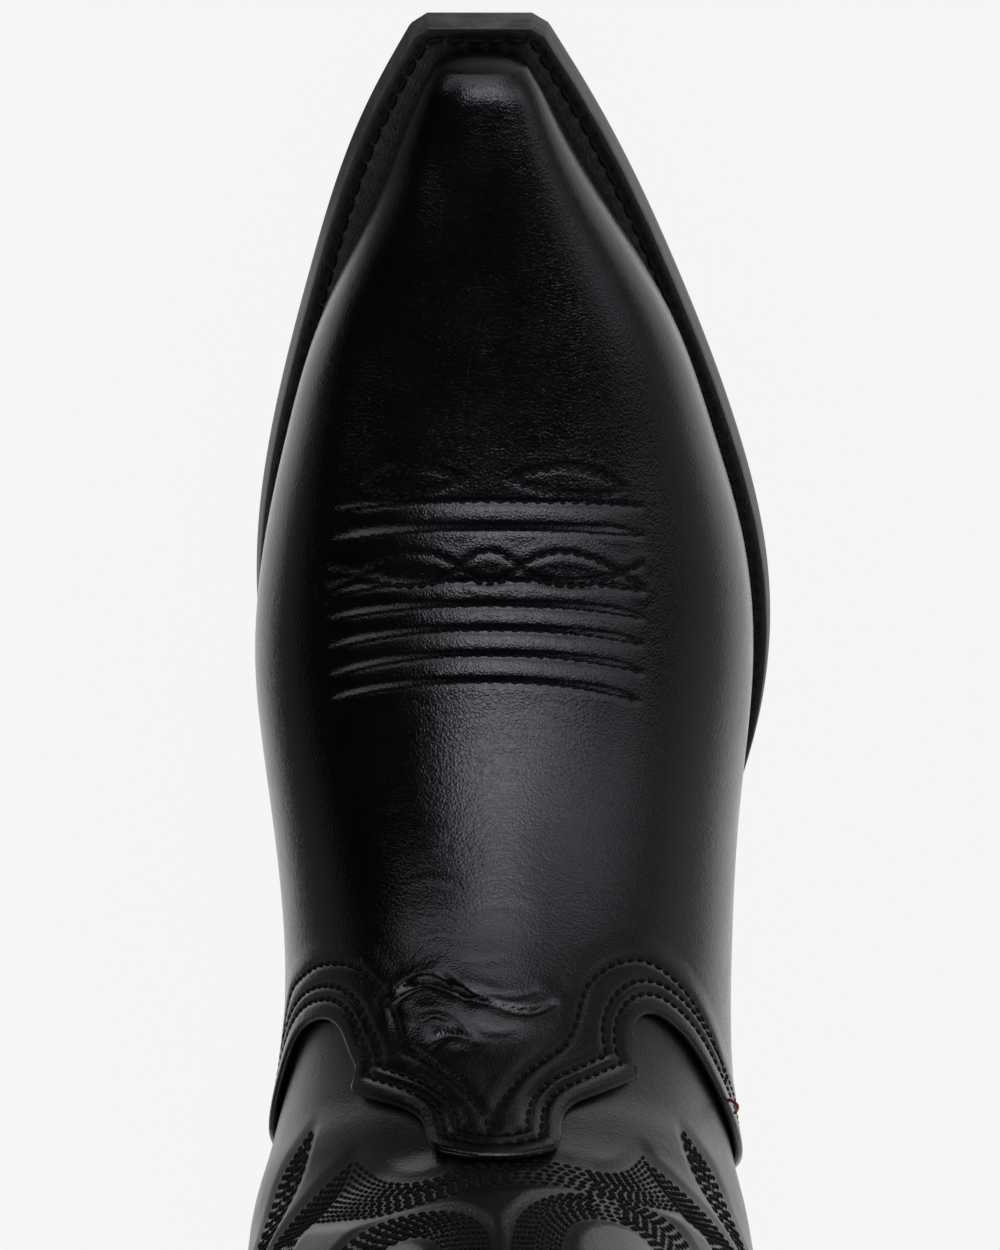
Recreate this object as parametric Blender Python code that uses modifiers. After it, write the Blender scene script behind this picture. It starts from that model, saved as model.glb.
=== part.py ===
"""Right-foot western boot: snip toe, stitched vamp, scalloped shaft, stacked cowboy heel.

The toe points along -Y, the little-toe (lateral) side is -X, and the boot stands on z = 0. Lengths below
are in millimetres and become metres when a mesh is made. The upper is one smooth surface with two
coordinates: s runs along its front line, from the toe tip to the top of the shaft, and t runs round each
section from that line (t = 0) to the sole or the back line, at +1 on the medial and -1 on the lateral side.
"""

import math

import bmesh
import bpy
import numpy as np

MM = 0.001
MEDIAL, LATERAL = 1, -1

# Sole
SOLE_FRONT, SOLE_BACK = -155.0, 155.0
HEEL_CURVE_START = 112.0  # behind this the outline is a round
HEEL_SQUARENESS = 2.2
OUTSOLE_THICKNESS = 5.0
WELT_THICKNESS = 3.0
INSOLE_THICKNESS = 3.0
SOCK_THICKNESS = 1.2
GAP = 0.3
FRONT_CORNERS = -5.5, 14.5  # x of the square toe's two corners
FRONT_CHAMFER = (2.0, -8.6, 17.4)  # how far back the toe's chamfers end, and their x
CORK_BACK = 38.0
SHANK_Y = (39.0, 128.0)
SHANK_HALF_WIDTH, SHANK_MIDDLE, SHANK_THICKNESS = 8.0, -2.0, 1.6
FEATHER_BACK = 151.5  # where the back of the upper meets the heel seat
FEATHER_HEIGHT = OUTSOLE_THICKNESS + WELT_THICKNESS + 2 * GAP
BREAST = 88.0  # front face of the heel at its top
WELT_END = 84.0
WELT_TUCK = 3.5  # how far the welt reaches in under the upper
LINED_INSET = 7.5  # from the feather edge to the edge of the insole

# Heel
CAP_THICKNESS = 6.0
LIFT_THICKNESS = 5.0
FLAT_LIFTS = 4
HEEL_BOTTOM_BACK = 141.0
HEEL_BOTTOM_BREAST = 92.0
HEEL_TOP_HALF_WIDTH, HEEL_BOTTOM_HALF_WIDTH = 32.8, 28.5
HEEL_FLANK = 0.42  # share of its length along which the heel's sides run straight
NAIL_RADIUS, NAIL_HEAD_RADIUS = 1.1, 2.2
NAIL_BOTTOM, NAIL_HEAD_TOP, NAIL_TOP = 0.7, 2.0, 20.0
NAIL_STEPS = 10
NAILS = [(0.0, 133.0), (17.0, 124.0), (-17.0, 124.0), (18.5, 103.0), (-18.5, 103.0)]

# Upper: depth below the outer surface, and thickness, of each layer
OUTER_LEATHER = (0.0, 1.6)
SHAFT_LEATHER = (2.8, 1.1)
LINING_LEATHER = (5.7, 0.9)
SEAM_SPACE = 0.012  # in t, from a side seam to the edge of each panel
LAP = 13.0  # in s, how far the shaft's back panel runs under the counter cover
SHAFT_BACK_LOWEST = 188.5  # in s
SIDE_PEAK, FRONT_DIP = 408.0, 372.0  # in s, the top line
STRAP_HALF_WIDTH, STRAP_THICKNESS = 0.08, 1.2  # width in t
BINDING_THICKNESS = 0.8
PIPING_RADIUS, PIPING_DEPTH = 0.95, 2.5
PIPING_START, PIPING_END = 212.0, SIDE_PEAK - 6  # in s
COVER_LIFT, STIFFENER_LIFT = 0.026, 0.015  # in t, from the feather edge to a piece round the heel
PUFF_CUT = 50.0  # in s; behind this the toe puff stops short of the sole
LINING_SEAM = 200.0  # in s, where the vamp lining meets the shaft linings
LINING_SEAM_SPACE = 1.4
LINING_SPACE = 0.003  # in t, from a side seam to the edge of each lining
LINING_CORNER = 0.45  # share of the way to the side seam at which the back lining leaves the feather edge

# Front line y and z, feather coordinate, half width on the medial and on the lateral side
LAST = [
    (-147.5, 31.0, -147.5, 9.0, 9.0),
    (-135.0, 36.5, -134.0, 15.4, 15.8),
    (-120.0, 41.0, -118.0, 22.0, 24.0),
    (-100.0, 47.0, -96.0, 32.7, 35.2),
    (-80.0, 54.0, -73.0, 40.3, 42.1),
    (-60.0, 62.5, -49.0, 46.2, 47.4),
    (-40.0, 73.0, -23.0, 48.9, 48.6),
    (-20.0, 87.0, 6.0, 46.0, 45.9),
    (-3.0, 103.0, 38.0, 42.8, 44.3),
    (9.0, 122.0, 75.0, 44.4, 45.7),
    (15.0, 142.0, 122.0, 50.6, 51.8),
    (17.0, 160.0, 178.0, 51.2, 53.8),
    (15.0, 190.0, 232.0, 50.0, 54.0),
    (11.0, 225.0, 292.0, 50.6, 53.4),
    (8.0, 265.0, 350.0, 51.8, 53.2),
    (6.0, 305.0, 412.0, 53.0, 53.6),
    (5.0, 345.0, 468.0, 54.0, 54.0),
    (5.0, 353.0, 476.0, 54.1, 54.1),
]
TIP_LENGTH, TIP_SQUARENESS = 5.0, 2.6
HEEL_TURN = 57.0  # feather coordinate used up by the round of the heel
HEEL_MIDDLE = HEEL_CURVE_START + HEEL_TURN


def spline(knots):
    """The natural cubic spline through (u, value) knots, as a function that holds its end values."""
    u, value = np.array(knots, float).T
    step = np.diff(u)
    system, pull = np.eye(len(u)), np.zeros(len(u))
    for i in range(1, len(step)):
        system[i, i - 1 : i + 2] = step[i - 1], 2 * (step[i - 1] + step[i]), step[i]
        pull[i] = 6 * ((value[i + 1] - value[i]) / step[i] - (value[i] - value[i - 1]) / step[i - 1])
    bend = np.linalg.solve(system, pull)

    def at(x):
        x = np.clip(np.asarray(x, float), u[0], u[-1])
        i = np.clip(np.searchsorted(u, x) - 1, 0, len(step) - 1)
        after, before, h = x - u[i], u[i + 1] - x, step[i]
        cubic = (bend[i] * before**3 + bend[i + 1] * after**3) / (6 * h)
        return (
            cubic
            + (value[i] / h - bend[i] * h / 6) * before
            + (value[i + 1] / h - bend[i + 1] * h / 6) * after
        )

    return at


def line_through(knots):
    """The broken line through (u, value) knots, as a function."""
    u, value = np.array(knots, float).T
    return lambda x: np.interp(x, u, value)


sole_rise = spline(
    [(-155, 11), (-130, 6), (-105, 2.4), (-80, 0.2), (-62, -0.3), (-44, 0.2), (-20, 3), (5, 8.5)]
    + [(30, 16.5), (58, 26.5), (88, 33.5), (120, 36), (155, 37.5)]
)
sole_medial = spline(
    [(-155, 16.5), (-136, 26.2), (-102, 37.5), (-68, 45.8), (-34, 49.6), (-5, 45.5), (20, 36.5)]
    + [(45, 29.5), (70, 28.8), (95, 32.5), (112, 33.5)]
)
sole_lateral = spline(
    [(-155, 7.5), (-136, 18.2), (-102, 33.7), (-68, 46.2), (-34, 53.6), (-5, 51.5), (20, 43.5)]
    + [(45, 36.5), (70, 33.2), (95, 33.2), (112, 33.5)]
)
welt_width = spline([(-155, 7.6), (-100, 7.6), (-40, 6.2), (10, 5.0), (60, 3.6), (112, 3.3)])
back_y = spline(
    [(40, 150.5), (46, 151.5), (65, 154.7), (88, 153.2), (112, 148.7), (140, 145.2), (175, 145.7)]
    + [(220, 148.9), (270, 151.7), (320, 153.3), (353, 153.7)]
)

front_line = np.array(LAST)[:, :2]
ALONG = np.concatenate([[0], np.cumsum(np.hypot(*np.diff(front_line, axis=0).T))])
S_TOP = ALONG[-1]
ridge_y, ridge_z, feather_of, half_medial, half_lateral = (
    spline(list(zip(ALONG, column))) for column in np.array(LAST).T
)
ridge_x = spline([(0, 3.8), (60, 3.4), (120, 2.6), (170, 2.0), (215, 1.6), (260, 0), (S_TOP, 0)])
front_roundness = spline([(0, 2.7), (50, 2.5), (110, 2.2), (180, 2.15), (260, 2.2), (S_TOP, 2.2)])
back_roundness = spline(
    [(0, 2.7), (50, 2.5), (110, 2.3), (150, 2.1), (186, 1.75), (198, 1.6), (207, 1.65), (215, 1.9)]
    + [(222, 2.1), (236, 2.1), (270, 2.2), (S_TOP, 2.2)]
)

# Edges of the upper's pieces, as (s, t) or as s for a share of the way round a panel
VAMP_EDGE = {
    MEDIAL: [(215, 0), (211, 0.07), (203, 0.10), (196, 0.18), (191, 0.24), (182, 0.28), (176, 0.36)]
    + [(179, 0.49), (187, 0.60), (189, 0.79), (184, 1)],
    LATERAL: [(215, 0), (211, 0.06), (203, 0.09), (195.5, 0.15), (190, 0.20), (181, 0.225), (176, 0.27)]
    + [(181, 0.35), (190, 0.46), (192, 0.68), (184, 1)],
}
front_panel_start = {
    MEDIAL: line_through(
        [(0, 203), (0.2, 185), (0.33, 166), (0.42, 165), (0.55, 172), (0.75, 179), (1, 181)]
    ),
    LATERAL: line_through(
        [(0, 203), (0.17, 184), (0.22, 168), (0.3, 166), (0.45, 175), (0.7, 182), (1, 181)]
    ),
}
counter_top = line_through(
    [(0, 258), (0.12, 255), (0.26, 247), (0.4, 237), (0.55, 226), (0.7, 214), (0.85, 204), (1, 197)]
)
seam_y = spline([(36, 76), (60, 77), (100, 80), (150, 81), (353, 79)])  # y of the side seams at height z
COUNTER_START = 81.0  # feather coordinate of its front edge
STIFFENER_REACH = 0.8  # share of the way from the back line to the side seam


def sole_z(y):
    """Height of the outsole's underside."""
    return np.maximum(sole_rise(y), 0)


def shoulder(share, power):
    """From 0 to 1 along a quarter of a superellipse."""
    return (1 - (1 - np.clip(share, 0, 1)) ** power) ** (1 / power)


def signed_power(value, power):
    return np.sign(value) * np.abs(value) ** power


def inset_outline(y, side, inset):
    """Half width of the sole at y, in from its edge by inset measured square to that edge."""
    outline = np.where(side > 0, sole_medial(y), sole_lateral(y))
    ahead = np.where(side > 0, sole_medial(y + 0.5), sole_lateral(y + 0.5))
    behind = np.where(side > 0, sole_medial(y - 0.5), sole_lateral(y - 0.5))
    return outline - inset * np.hypot(1, ahead - behind)


def feather_edge(f, side):
    """Half width, y and z where the upper meets the welt; past HEEL_MIDDLE it climbs the back line."""
    y_side = np.minimum(f, HEEL_CURVE_START)
    straight = inset_outline(y_side, side, welt_width(y_side))
    turn = np.clip((f - HEEL_CURVE_START) / HEEL_TURN, 0, 1) * np.pi / 2
    half = straight * np.clip(np.cos(turn), 0, 1) ** (2 / HEEL_SQUARENESS)
    y = y_side + (FEATHER_BACK - HEEL_CURVE_START) * np.sin(turn) ** (2 / HEEL_SQUARENESS)
    climb = np.maximum(f - HEEL_MIDDLE, 0)
    z_back = sole_z(FEATHER_BACK) + FEATHER_HEIGHT + climb
    climbing = f > HEEL_MIDDLE
    return (
        np.where(climbing, 0, half),
        np.where(climbing, back_y(z_back), y),
        np.where(climbing, z_back, sole_z(y) + FEATHER_HEIGHT),
    )


def upper(s, t):
    """Points of the upper's outer surface, in millimetres."""
    s, t = np.broadcast_arrays(np.asarray(s, float), np.asarray(t, float))
    side = np.where(t < 0, LATERAL, MEDIAL)
    tip = shoulder(s / TIP_LENGTH, TIP_SQUARENESS)
    half, end_y, end_z = feather_edge(feather_of(s), side)
    other_half = feather_edge(feather_of(s), -side)[0]
    widest = np.where(side > 0, half_medial(s), half_lateral(s))
    share = np.clip((half + other_half) / 2 / widest, 0, 0.999)
    n_front, n_back = front_roundness(s), back_roundness(s)
    a = np.abs(t)
    n = n_front + (n_back - n_front) * a * a * (3 - 2 * a)
    end = np.pi - np.arcsin(share ** (n_back / 2))
    drop = 1 - signed_power(np.cos(a * end), 2 / n)
    whole_drop = 1 - signed_power(np.cos(end), 2 / n_back)
    middle = ridge_x(s) + (side * (half - other_half) / 2 - ridge_x(s)) * a * a * tip
    x = middle + side * widest * tip * signed_power(np.sin(a * end), 2 / n)
    top_y, top_z = ridge_y(s), end_z + (ridge_z(s) - end_z) * tip
    c = drop / whole_drop
    return np.stack([x, top_y + (end_y - top_y) * c, top_z + (end_z - top_z) * c], -1)


def upper_normal(s, t):
    """Outward normals. Near the sole they are taken a little inside the edge, where sections still spread."""
    s, t = np.broadcast_arrays(np.maximum(s, 0.05), t)
    limit = np.interp(s, [228, 236], [0.97, 1])
    inside = np.clip(t, -limit, limit)
    step = np.clip(s * 0.05, 0.3, 3)
    along = upper(np.minimum(s + step, S_TOP), inside) - upper(np.maximum(s - step, 0), inside)
    around = upper(s, inside + 0.012) - upper(s, inside - 0.012)
    n = np.cross(around, along)
    on_back_line = (np.abs(t) >= 1) & (feather_of(s) >= HEEL_MIDDLE)
    n[..., 0] = np.where(on_back_line, 0, n[..., 0])
    near_sole = (np.abs(t) > 0.8) & (s < 232)
    n[..., 2] = np.where(near_sole, np.minimum(n[..., 2], -0.02), n[..., 2])
    return n / np.linalg.norm(n, axis=-1, keepdims=True)


def below_surface(s, t, depth):
    """Points at a depth below the upper's outer surface. Past the top of the shaft they go straight up."""
    s, t, depth = np.broadcast_arrays(np.asarray(s, float), np.asarray(t, float), np.asarray(depth, float))
    held = np.minimum(s, S_TOP - 5)
    points = upper(held, t) - depth[..., None] * upper_normal(held, t)
    points[..., 2] += s - held
    return points


def s_at_feather(f):
    """The s whose section ends at feather coordinate f."""
    s = np.linspace(0, S_TOP, 4000)
    return np.interp(f, feather_of(s), s)


def solve_side_seam():
    """t of the side seams as a function of s, where each section crosses seam_y; 1 if it ends ahead of it."""
    s, t = np.meshgrid(np.linspace(0, S_TOP, 840), np.linspace(0.3, 1, 281), indexing="ij")
    points = upper(s, t)
    crossed = points[..., 1] > seam_y(points[..., 2])
    seam = np.where(crossed.any(axis=1), t[0][crossed.argmax(axis=1)], 1)
    return line_through(list(zip(s[:, 0], seam)))


side_seam = solve_side_seam()


def top_line(t):
    """s of the shaft's scalloped top edge."""
    return FRONT_DIP + (SIDE_PEAK - FRONT_DIP) * np.abs(np.sin(np.pi * np.asarray(t))) ** 1.4


def clear_scene():
    for obj in list(bpy.data.objects):
        bpy.data.objects.remove(obj, do_unlink=True)


def new_collection(name):
    collection = bpy.data.collections.new(name)
    bpy.context.scene.collection.children.link(collection)
    return collection


def new_material(name, color, roughness, metallic=0.0):
    material = bpy.data.materials.new(name)
    material.use_nodes = True
    shader = material.node_tree.nodes["Principled BSDF"]
    shader.inputs["Base Color"].default_value = (*color, 1)
    shader.inputs["Roughness"].default_value = roughness
    shader.inputs["Metallic"].default_value = metallic
    return material


def add_mesh(name, points, faces, material, collection):
    """One named object from points in millimetres."""
    mesh = bpy.data.meshes.new(name)
    mesh.from_pydata((np.reshape(points, (-1, 3)) * MM).tolist(), [], faces)
    mesh.validate()
    obj = bpy.data.objects.new(name, mesh)
    obj.data.materials.append(material)
    collection.objects.link(obj)
    return obj


def face_out(obj):
    """Turns a closed mesh's faces outwards."""
    cage = bmesh.new()
    cage.from_mesh(obj.data)
    bmesh.ops.recalc_face_normals(cage, faces=cage.faces)
    cage.to_mesh(obj.data)
    cage.free()


def shade(obj, angle=40):
    obj.data.shade_smooth()
    obj.data.set_sharp_from_angle(angle=math.radians(angle))


def add_skin(name, s, t, layer, material, collection, closed=False, depth=None):
    """A sheet of leather: a grid of (s, t) points, rows going up, given its thickness by Solidify."""
    top_depth, thickness = layer
    points = below_surface(s, t, top_depth if depth is None else depth)
    rows, columns = points.shape[:2]
    steps = columns if closed else columns - 1
    faces = []
    for i in range(rows - 1):
        for j in range(steps):
            k = (j + 1) % columns
            faces.append((i * columns + j, i * columns + k, (i + 1) * columns + k, (i + 1) * columns + j))
    obj = add_mesh(name, points, faces, material, collection)
    cage = bmesh.new()
    cage.from_mesh(obj.data)
    bmesh.ops.remove_doubles(cage, verts=cage.verts, dist=0.01 * MM)
    cage.to_mesh(obj.data)
    cage.free()
    shell = obj.modifiers.new("leather", "SOLIDIFY")
    shell.thickness = thickness * MM
    shell.offset = -1
    shell.use_even_offset = False
    shell.use_quality_normals = True
    shade(obj)
    return obj


def shares(count, end=1.0):
    """Evenly spaced shares from -end to end."""
    return np.linspace(-end, end, count)


VAMP_EVEN_TO = 120.0  # in s; up to here the vamp's columns are evenly spaced in t


def add_vamp(material, collection):
    corners = [(s, -t) for s, t in VAMP_EDGE[LATERAL][:0:-1]] + VAMP_EDGE[MEDIAL]
    even_t = shares(33)
    knots = shares(len(corners))
    edge_s, edge_t = (np.interp(even_t, knots, value) for value in np.array(corners, float).T)
    toe_rows = [0, 0.3, 1.2, 3.5, 8, 16, 27, 40, 54, 68, 82, 96, 110, 124, 136, 147, 157]
    toe_s = np.tile(np.array(toe_rows, float)[:, None], len(even_t))
    instep_share = np.linspace(0, 1, 5)[1:, None]
    last_row = toe_rows[-1]
    instep_s = last_row + (edge_s - last_row) * instep_share
    s = np.concatenate([toe_s, instep_s])
    blend = np.clip((s - VAMP_EVEN_TO) / (edge_s - VAMP_EVEN_TO), 0, 1)
    t = even_t + (edge_t - even_t) * blend * blend * (3 - 2 * blend)
    add_skin("vamp", s, t, OUTER_LEATHER, material, collection)


def back_t(s, share):
    """t on a back panel: share 0 is the back line and +1 or -1 the side seam, wrapped round the back."""
    side = np.where(share < 0, LATERAL, MEDIAL)
    seam = np.minimum(side_seam(s) + SEAM_SPACE, 1)
    return side * (1 - np.abs(share) * (1 - seam))


def front_t(s, share):
    return share * (side_seam(s) - SEAM_SPACE)


# Shares of the way up at which a shaft panel has its rows, closer together at the ankle
SHAFT_CLIMB = np.array([0, 0.04, 0.08, 0.13, 0.18, 0.24, 0.31, 0.4, 0.5, 0.62, 0.75, 0.88, 1])[:, None]


def add_shaft_front(material, collection):
    around = shares(23)
    starts = np.where(around > 0, front_panel_start[MEDIAL](around), front_panel_start[LATERAL](-around))
    s = starts + (top_line(around * 0.5) - starts) * SHAFT_CLIMB
    add_skin("shaft_front", s, front_t(s, around), SHAFT_LEATHER, material, collection)


def add_shaft_back(material, collection):
    around = shares(21)[::-1]
    starts = np.maximum(counter_top(np.abs(around)) - LAP, SHAFT_BACK_LOWEST)
    s = starts + (top_line(1 - np.abs(around) * 0.5) - starts) * SHAFT_CLIMB
    add_skin("shaft_back", s, back_t(s, around), SHAFT_LEATHER, material, collection)


def add_heel_wrap(name, lift, drop, reach, rows, columns, layer, material, collection):
    """A piece round the heel, from lift above the feather edge up to drop below the counter's top edge."""
    around = shares(columns, reach)[::-1]
    bottom_s = s_at_feather(HEEL_MIDDLE - np.abs(around) * (HEEL_MIDDLE - COUNTER_START))
    top_s = counter_top(np.abs(around)) - drop
    top_t = back_t(top_s, around)
    climb = np.linspace(0, 1, rows)[:, None]
    side = np.where(around < 0, LATERAL, MEDIAL)
    s = bottom_s + (top_s - bottom_s) * climb
    bottom_t = side * (1 - lift)
    t = bottom_t + (top_t - bottom_t) * climb
    add_skin(name, s, t, layer, material, collection)


def add_toe_puff(material, collection):
    rows = np.array([8.0, 14, 21, 29, 38, 47, 56])[:, None]
    ends = np.where(rows > PUFF_CUT, 0.9, 1.0)
    add_skin("toe_puff", rows, ends * shares(19), SHAFT_LEATHER, material, collection)


def add_linings(material, collection):
    around = shares(25)
    rows = [9.0, 17, 27, 40, 54, 68, 82, 96, 110, 124, 138, 152, 164, 176, 188, LINING_SEAM]
    add_skin("vamp_lining", np.array(rows)[:, None], around, LINING_LEATHER, material, collection)
    start = LINING_SEAM + LINING_SEAM_SPACE
    around = shares(13, 0.5 - LINING_SPACE)
    s = start + (top_line(around) - start) * SHAFT_CLIMB
    add_skin("shaft_lining_front", s, around, LINING_LEATHER, material, collection)
    # The back lining's lower edge runs along the vamp lining and then round the feather edge.
    share = shares(29)[::-1]
    side = np.where(share < 0, LATERAL, MEDIAL)
    along_feather = np.minimum(np.abs(share) / LINING_CORNER, 1)
    low_s = s_at_feather(HEEL_MIDDLE - along_feather * (HEEL_MIDDLE - feather_of(start)))
    past_corner = np.clip((np.abs(share) - LINING_CORNER) / (1 - LINING_CORNER), 0, 1)
    low_t = 0.99 - past_corner * (0.49 - LINING_SPACE)
    high_t = 1 - np.abs(share) * (0.5 - LINING_SPACE)
    s = low_s + (top_line(high_t) - low_s) * SHAFT_CLIMB
    t = low_t + (high_t - low_t) * np.clip(SHAFT_CLIMB * 2.5, 0, 1)
    add_skin("shaft_lining_back", s, side * t, LINING_LEATHER, material, collection)


def add_pull_strap(name, side, material, collection):
    """A strip folded over the side of the shaft, with a finger loop above the top line."""
    fold = [(-58, -0.3), (-40, -0.3), (-22, -0.3), (-3, -0.3), (5, -0.8), (10, -0.5), (14, 1.5)]
    fold += [(15.5, 5.3), (14, 9.2), (10, 11.2), (5, 11.4), (-3, 10.6), (-24, 9.8), (-46, 9.6)]
    s = SIDE_PEAK + np.array([rise for rise, _ in fold], float)[:, None]
    depth = np.array([down for _, down in fold])[:, None]
    t = side * 0.5 + shares(5, STRAP_HALF_WIDTH)[None, :]
    grid_s, grid_t, grid_depth = np.broadcast_arrays(s, t, depth)
    layer = (0, STRAP_THICKNESS)
    obj = add_skin(name, grid_s, grid_t, layer, material, collection, depth=grid_depth)
    obj.modifiers["leather"].offset = 0


def add_top_binding(material, collection):
    """A folded strip over the raw top edges of the shaft and its lining."""
    fold = [(-4, 1.6), (1.0, 1.6), (1.5, 4.6), (1.0, 7.8), (-4, 7.8)]
    t = np.linspace(-1, 1, 45)[:-1][None, :]
    s = top_line(t) + np.array([rise for rise, _ in fold], float)[:, None]
    depth = np.array([down for _, down in fold])[:, None]
    s, t, depth = np.broadcast_arrays(s, t, depth)
    layer = (0, BINDING_THICKNESS)
    obj = add_skin("top_binding", s, t, layer, material, collection, closed=True, depth=depth)
    obj.modifiers["leather"].offset = 0


def add_piping(name, side, material, collection):
    s = np.linspace(PIPING_START, PIPING_END, 24)
    points = below_surface(s, side * side_seam(s), PIPING_DEPTH)
    curve = bpy.data.curves.new(name, "CURVE")
    curve.dimensions = "3D"
    curve.bevel_depth = PIPING_RADIUS * MM
    curve.bevel_resolution = 2
    curve.use_fill_caps = True
    run = curve.splines.new("POLY")
    run.points.add(len(points) - 1)
    for knot, point in zip(run.points, points * MM):
        knot.co = (*point, 1)
    obj = bpy.data.objects.new(name, curve)
    curve.materials.append(material)
    collection.objects.link(obj)


def sole_outline(inset, front, back):
    """(y, lateral x, medial x) rows of the sole's outline, in from the edge by inset(y)."""
    flank = np.linspace(front, min(back, HEEL_CURVE_START), 26)
    rows = [
        (y, -inset_outline(y, LATERAL, inset(y)), inset_outline(y, MEDIAL, inset(y))) for y in flank
    ]
    if back > HEEL_CURVE_START:
        half = inset_outline(HEEL_CURVE_START, MEDIAL, inset(HEEL_CURVE_START))
        for turn in np.linspace(0, np.pi / 2, 10)[1:]:
            x = half * max(np.cos(turn), 0.02) ** (2 / HEEL_SQUARENESS)
            y = HEEL_CURVE_START + (back - HEEL_CURVE_START) * np.sin(turn) ** (2 / HEEL_SQUARENESS)
            rows.append((y, -x, x))
    return np.array(rows)


def add_slab(name, rows, bottom, thickness, material, collection):
    """A flat piece that follows the sole's curve at a height above its underside."""
    y, lateral, medial = rows.T
    low = sole_z(y) + bottom
    points = []
    for z in (low, low + thickness):
        points += [np.stack([lateral, y, z], -1), np.stack([medial, y, z], -1)]
    n = len(y)
    lower_left, lower_right, upper_left, upper_right = (np.arange(n) + n * k for k in range(4))
    faces = [(lower_left[0], lower_right[0], upper_right[0], upper_left[0])]
    faces.append((lower_left[-1], upper_left[-1], upper_right[-1], lower_right[-1]))
    for i in range(n - 1):
        for a, b in (
            (lower_left, lower_right),
            (lower_right, upper_right),
            (upper_right, upper_left),
            (upper_left, lower_left),
        ):
            faces.append((a[i], a[i + 1], b[i + 1], b[i]))
    obj = add_mesh(name, np.concatenate(points), [tuple(map(int, f)) for f in faces], material, collection)
    face_out(obj)
    shade(obj)
    return obj


def add_rim(name, outer, inner, bottom, thickness, material, collection):
    """A strip between two plan outlines of as many points, open at both ends."""
    points = []
    for outline, lift in ((outer, 0), (inner, 0), (inner, thickness), (outer, thickness)):
        z = sole_z(outline[:, 1]) + bottom + lift
        points.append(np.column_stack([outline, z]))
    n = len(outer)
    faces = [(0, n, 2 * n, 3 * n), (n - 1, 4 * n - 1, 3 * n - 1, 2 * n - 1)]
    for i in range(n - 1):
        for k in range(4):
            a, b = k * n + i, ((k + 1) % 4) * n + i
            faces.append((a, a + 1, b + 1, b))
    obj = add_mesh(name, np.concatenate(points), faces, material, collection)
    face_out(obj)
    shade(obj)
    return obj


def forepart_path(inset, front):
    """Plan points from the medial breast round the toe to the lateral breast."""
    rows = sole_outline(inset, front, WELT_END)
    medial = rows[::-1, [2, 0]]
    lateral = rows[:, [1, 0]]
    return np.concatenate([medial, lateral])


def heel_path(inset, start, back):
    """Plan points from the medial side of the heel round its back to the lateral side."""
    rows = sole_outline(inset, start, back)
    medial, lateral = rows[:, [2, 0]], rows[::-1, [1, 0]]
    return np.concatenate([medial, lateral])


def add_sole(materials, collection):
    tread = sole_outline(lambda y: 0, SOLE_FRONT, SOLE_BACK)
    back_of_chamfer, lateral, medial = FRONT_CHAMFER
    tread[0] = SOLE_FRONT + back_of_chamfer, lateral, medial
    tread = np.concatenate([[(SOLE_FRONT, *FRONT_CORNERS)], tread])
    add_slab("outsole", tread, 0, OUTSOLE_THICKNESS, materials["sole_leather"], collection)
    welt_bottom = OUTSOLE_THICKNESS + GAP
    edge = forepart_path(lambda y: 0.4, SOLE_FRONT + 0.4)
    inner = forepart_path(lambda y: welt_width(y) + WELT_TUCK, SOLE_FRONT + 11.0)
    add_rim("welt", edge, inner, welt_bottom, WELT_THICKNESS, materials["welt"], collection)
    rand = heel_path(lambda y: 0.2, WELT_END + GAP, SOLE_BACK - 0.2)
    seat = heel_path(lambda y: welt_width(y) + WELT_TUCK, WELT_END + GAP, FEATHER_BACK - WELT_TUCK)
    add_rim("heel_rand", rand, seat, welt_bottom, WELT_THICKNESS, materials["welt"], collection)
    cork = sole_outline(lambda y: welt_width(y) + WELT_TUCK + 0.5, SOLE_FRONT + 12.0, CORK_BACK)
    add_slab("cork_filler", cork, welt_bottom, WELT_THICKNESS, materials["cork"], collection)
    sides = SHANK_MIDDLE - SHANK_HALF_WIDTH, SHANK_MIDDLE + SHANK_HALF_WIDTH
    shank = np.array([(y, *sides) for y in np.linspace(*SHANK_Y, 14)])
    add_slab("shank", shank, welt_bottom, SHANK_THICKNESS, materials["steel"], collection)
    inner_back = FEATHER_BACK - LINED_INSET
    insole = sole_outline(lambda y: welt_width(y) + LINED_INSET, SOLE_FRONT + 15.0, inner_back)
    add_slab("insole", insole, FEATHER_HEIGHT, INSOLE_THICKNESS, materials["insole"], collection)
    sock_bottom = FEATHER_HEIGHT + INSOLE_THICKNESS + GAP
    sock = sole_outline(lambda y: welt_width(y) + LINED_INSET + 0.6, SOLE_FRONT + 18.0, inner_back - 0.6)
    add_slab("sock_lining", sock, sock_bottom, SOCK_THICKNESS, materials["lining"], collection)


def heel_section(z):
    """Plan points of the heel stack at height z, from the medial breast round the back."""
    share = z / sole_z(SOLE_BACK)
    breast = HEEL_BOTTOM_BREAST + (BREAST - HEEL_BOTTOM_BREAST) * share
    back = HEEL_BOTTOM_BACK + (SOLE_BACK - 1.5 - HEEL_BOTTOM_BACK) * share**1.25
    half = HEEL_BOTTOM_HALF_WIDTH + (HEEL_TOP_HALF_WIDTH - HEEL_BOTTOM_HALF_WIDTH) * share
    start = breast + HEEL_FLANK * (back - breast)
    turn = np.linspace(0, np.pi / 2, 9)
    x = half * np.clip(np.cos(turn), 0, 1) ** (2 / HEEL_SQUARENESS)
    y = start + (back - start) * np.sin(turn) ** (2 / HEEL_SQUARENESS)
    medial = np.column_stack([np.append(half - 0.6, x), np.append(breast, y)])
    lateral = medial[-2::-1] * (-1, 1)
    return np.concatenate([medial, lateral])


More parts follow.
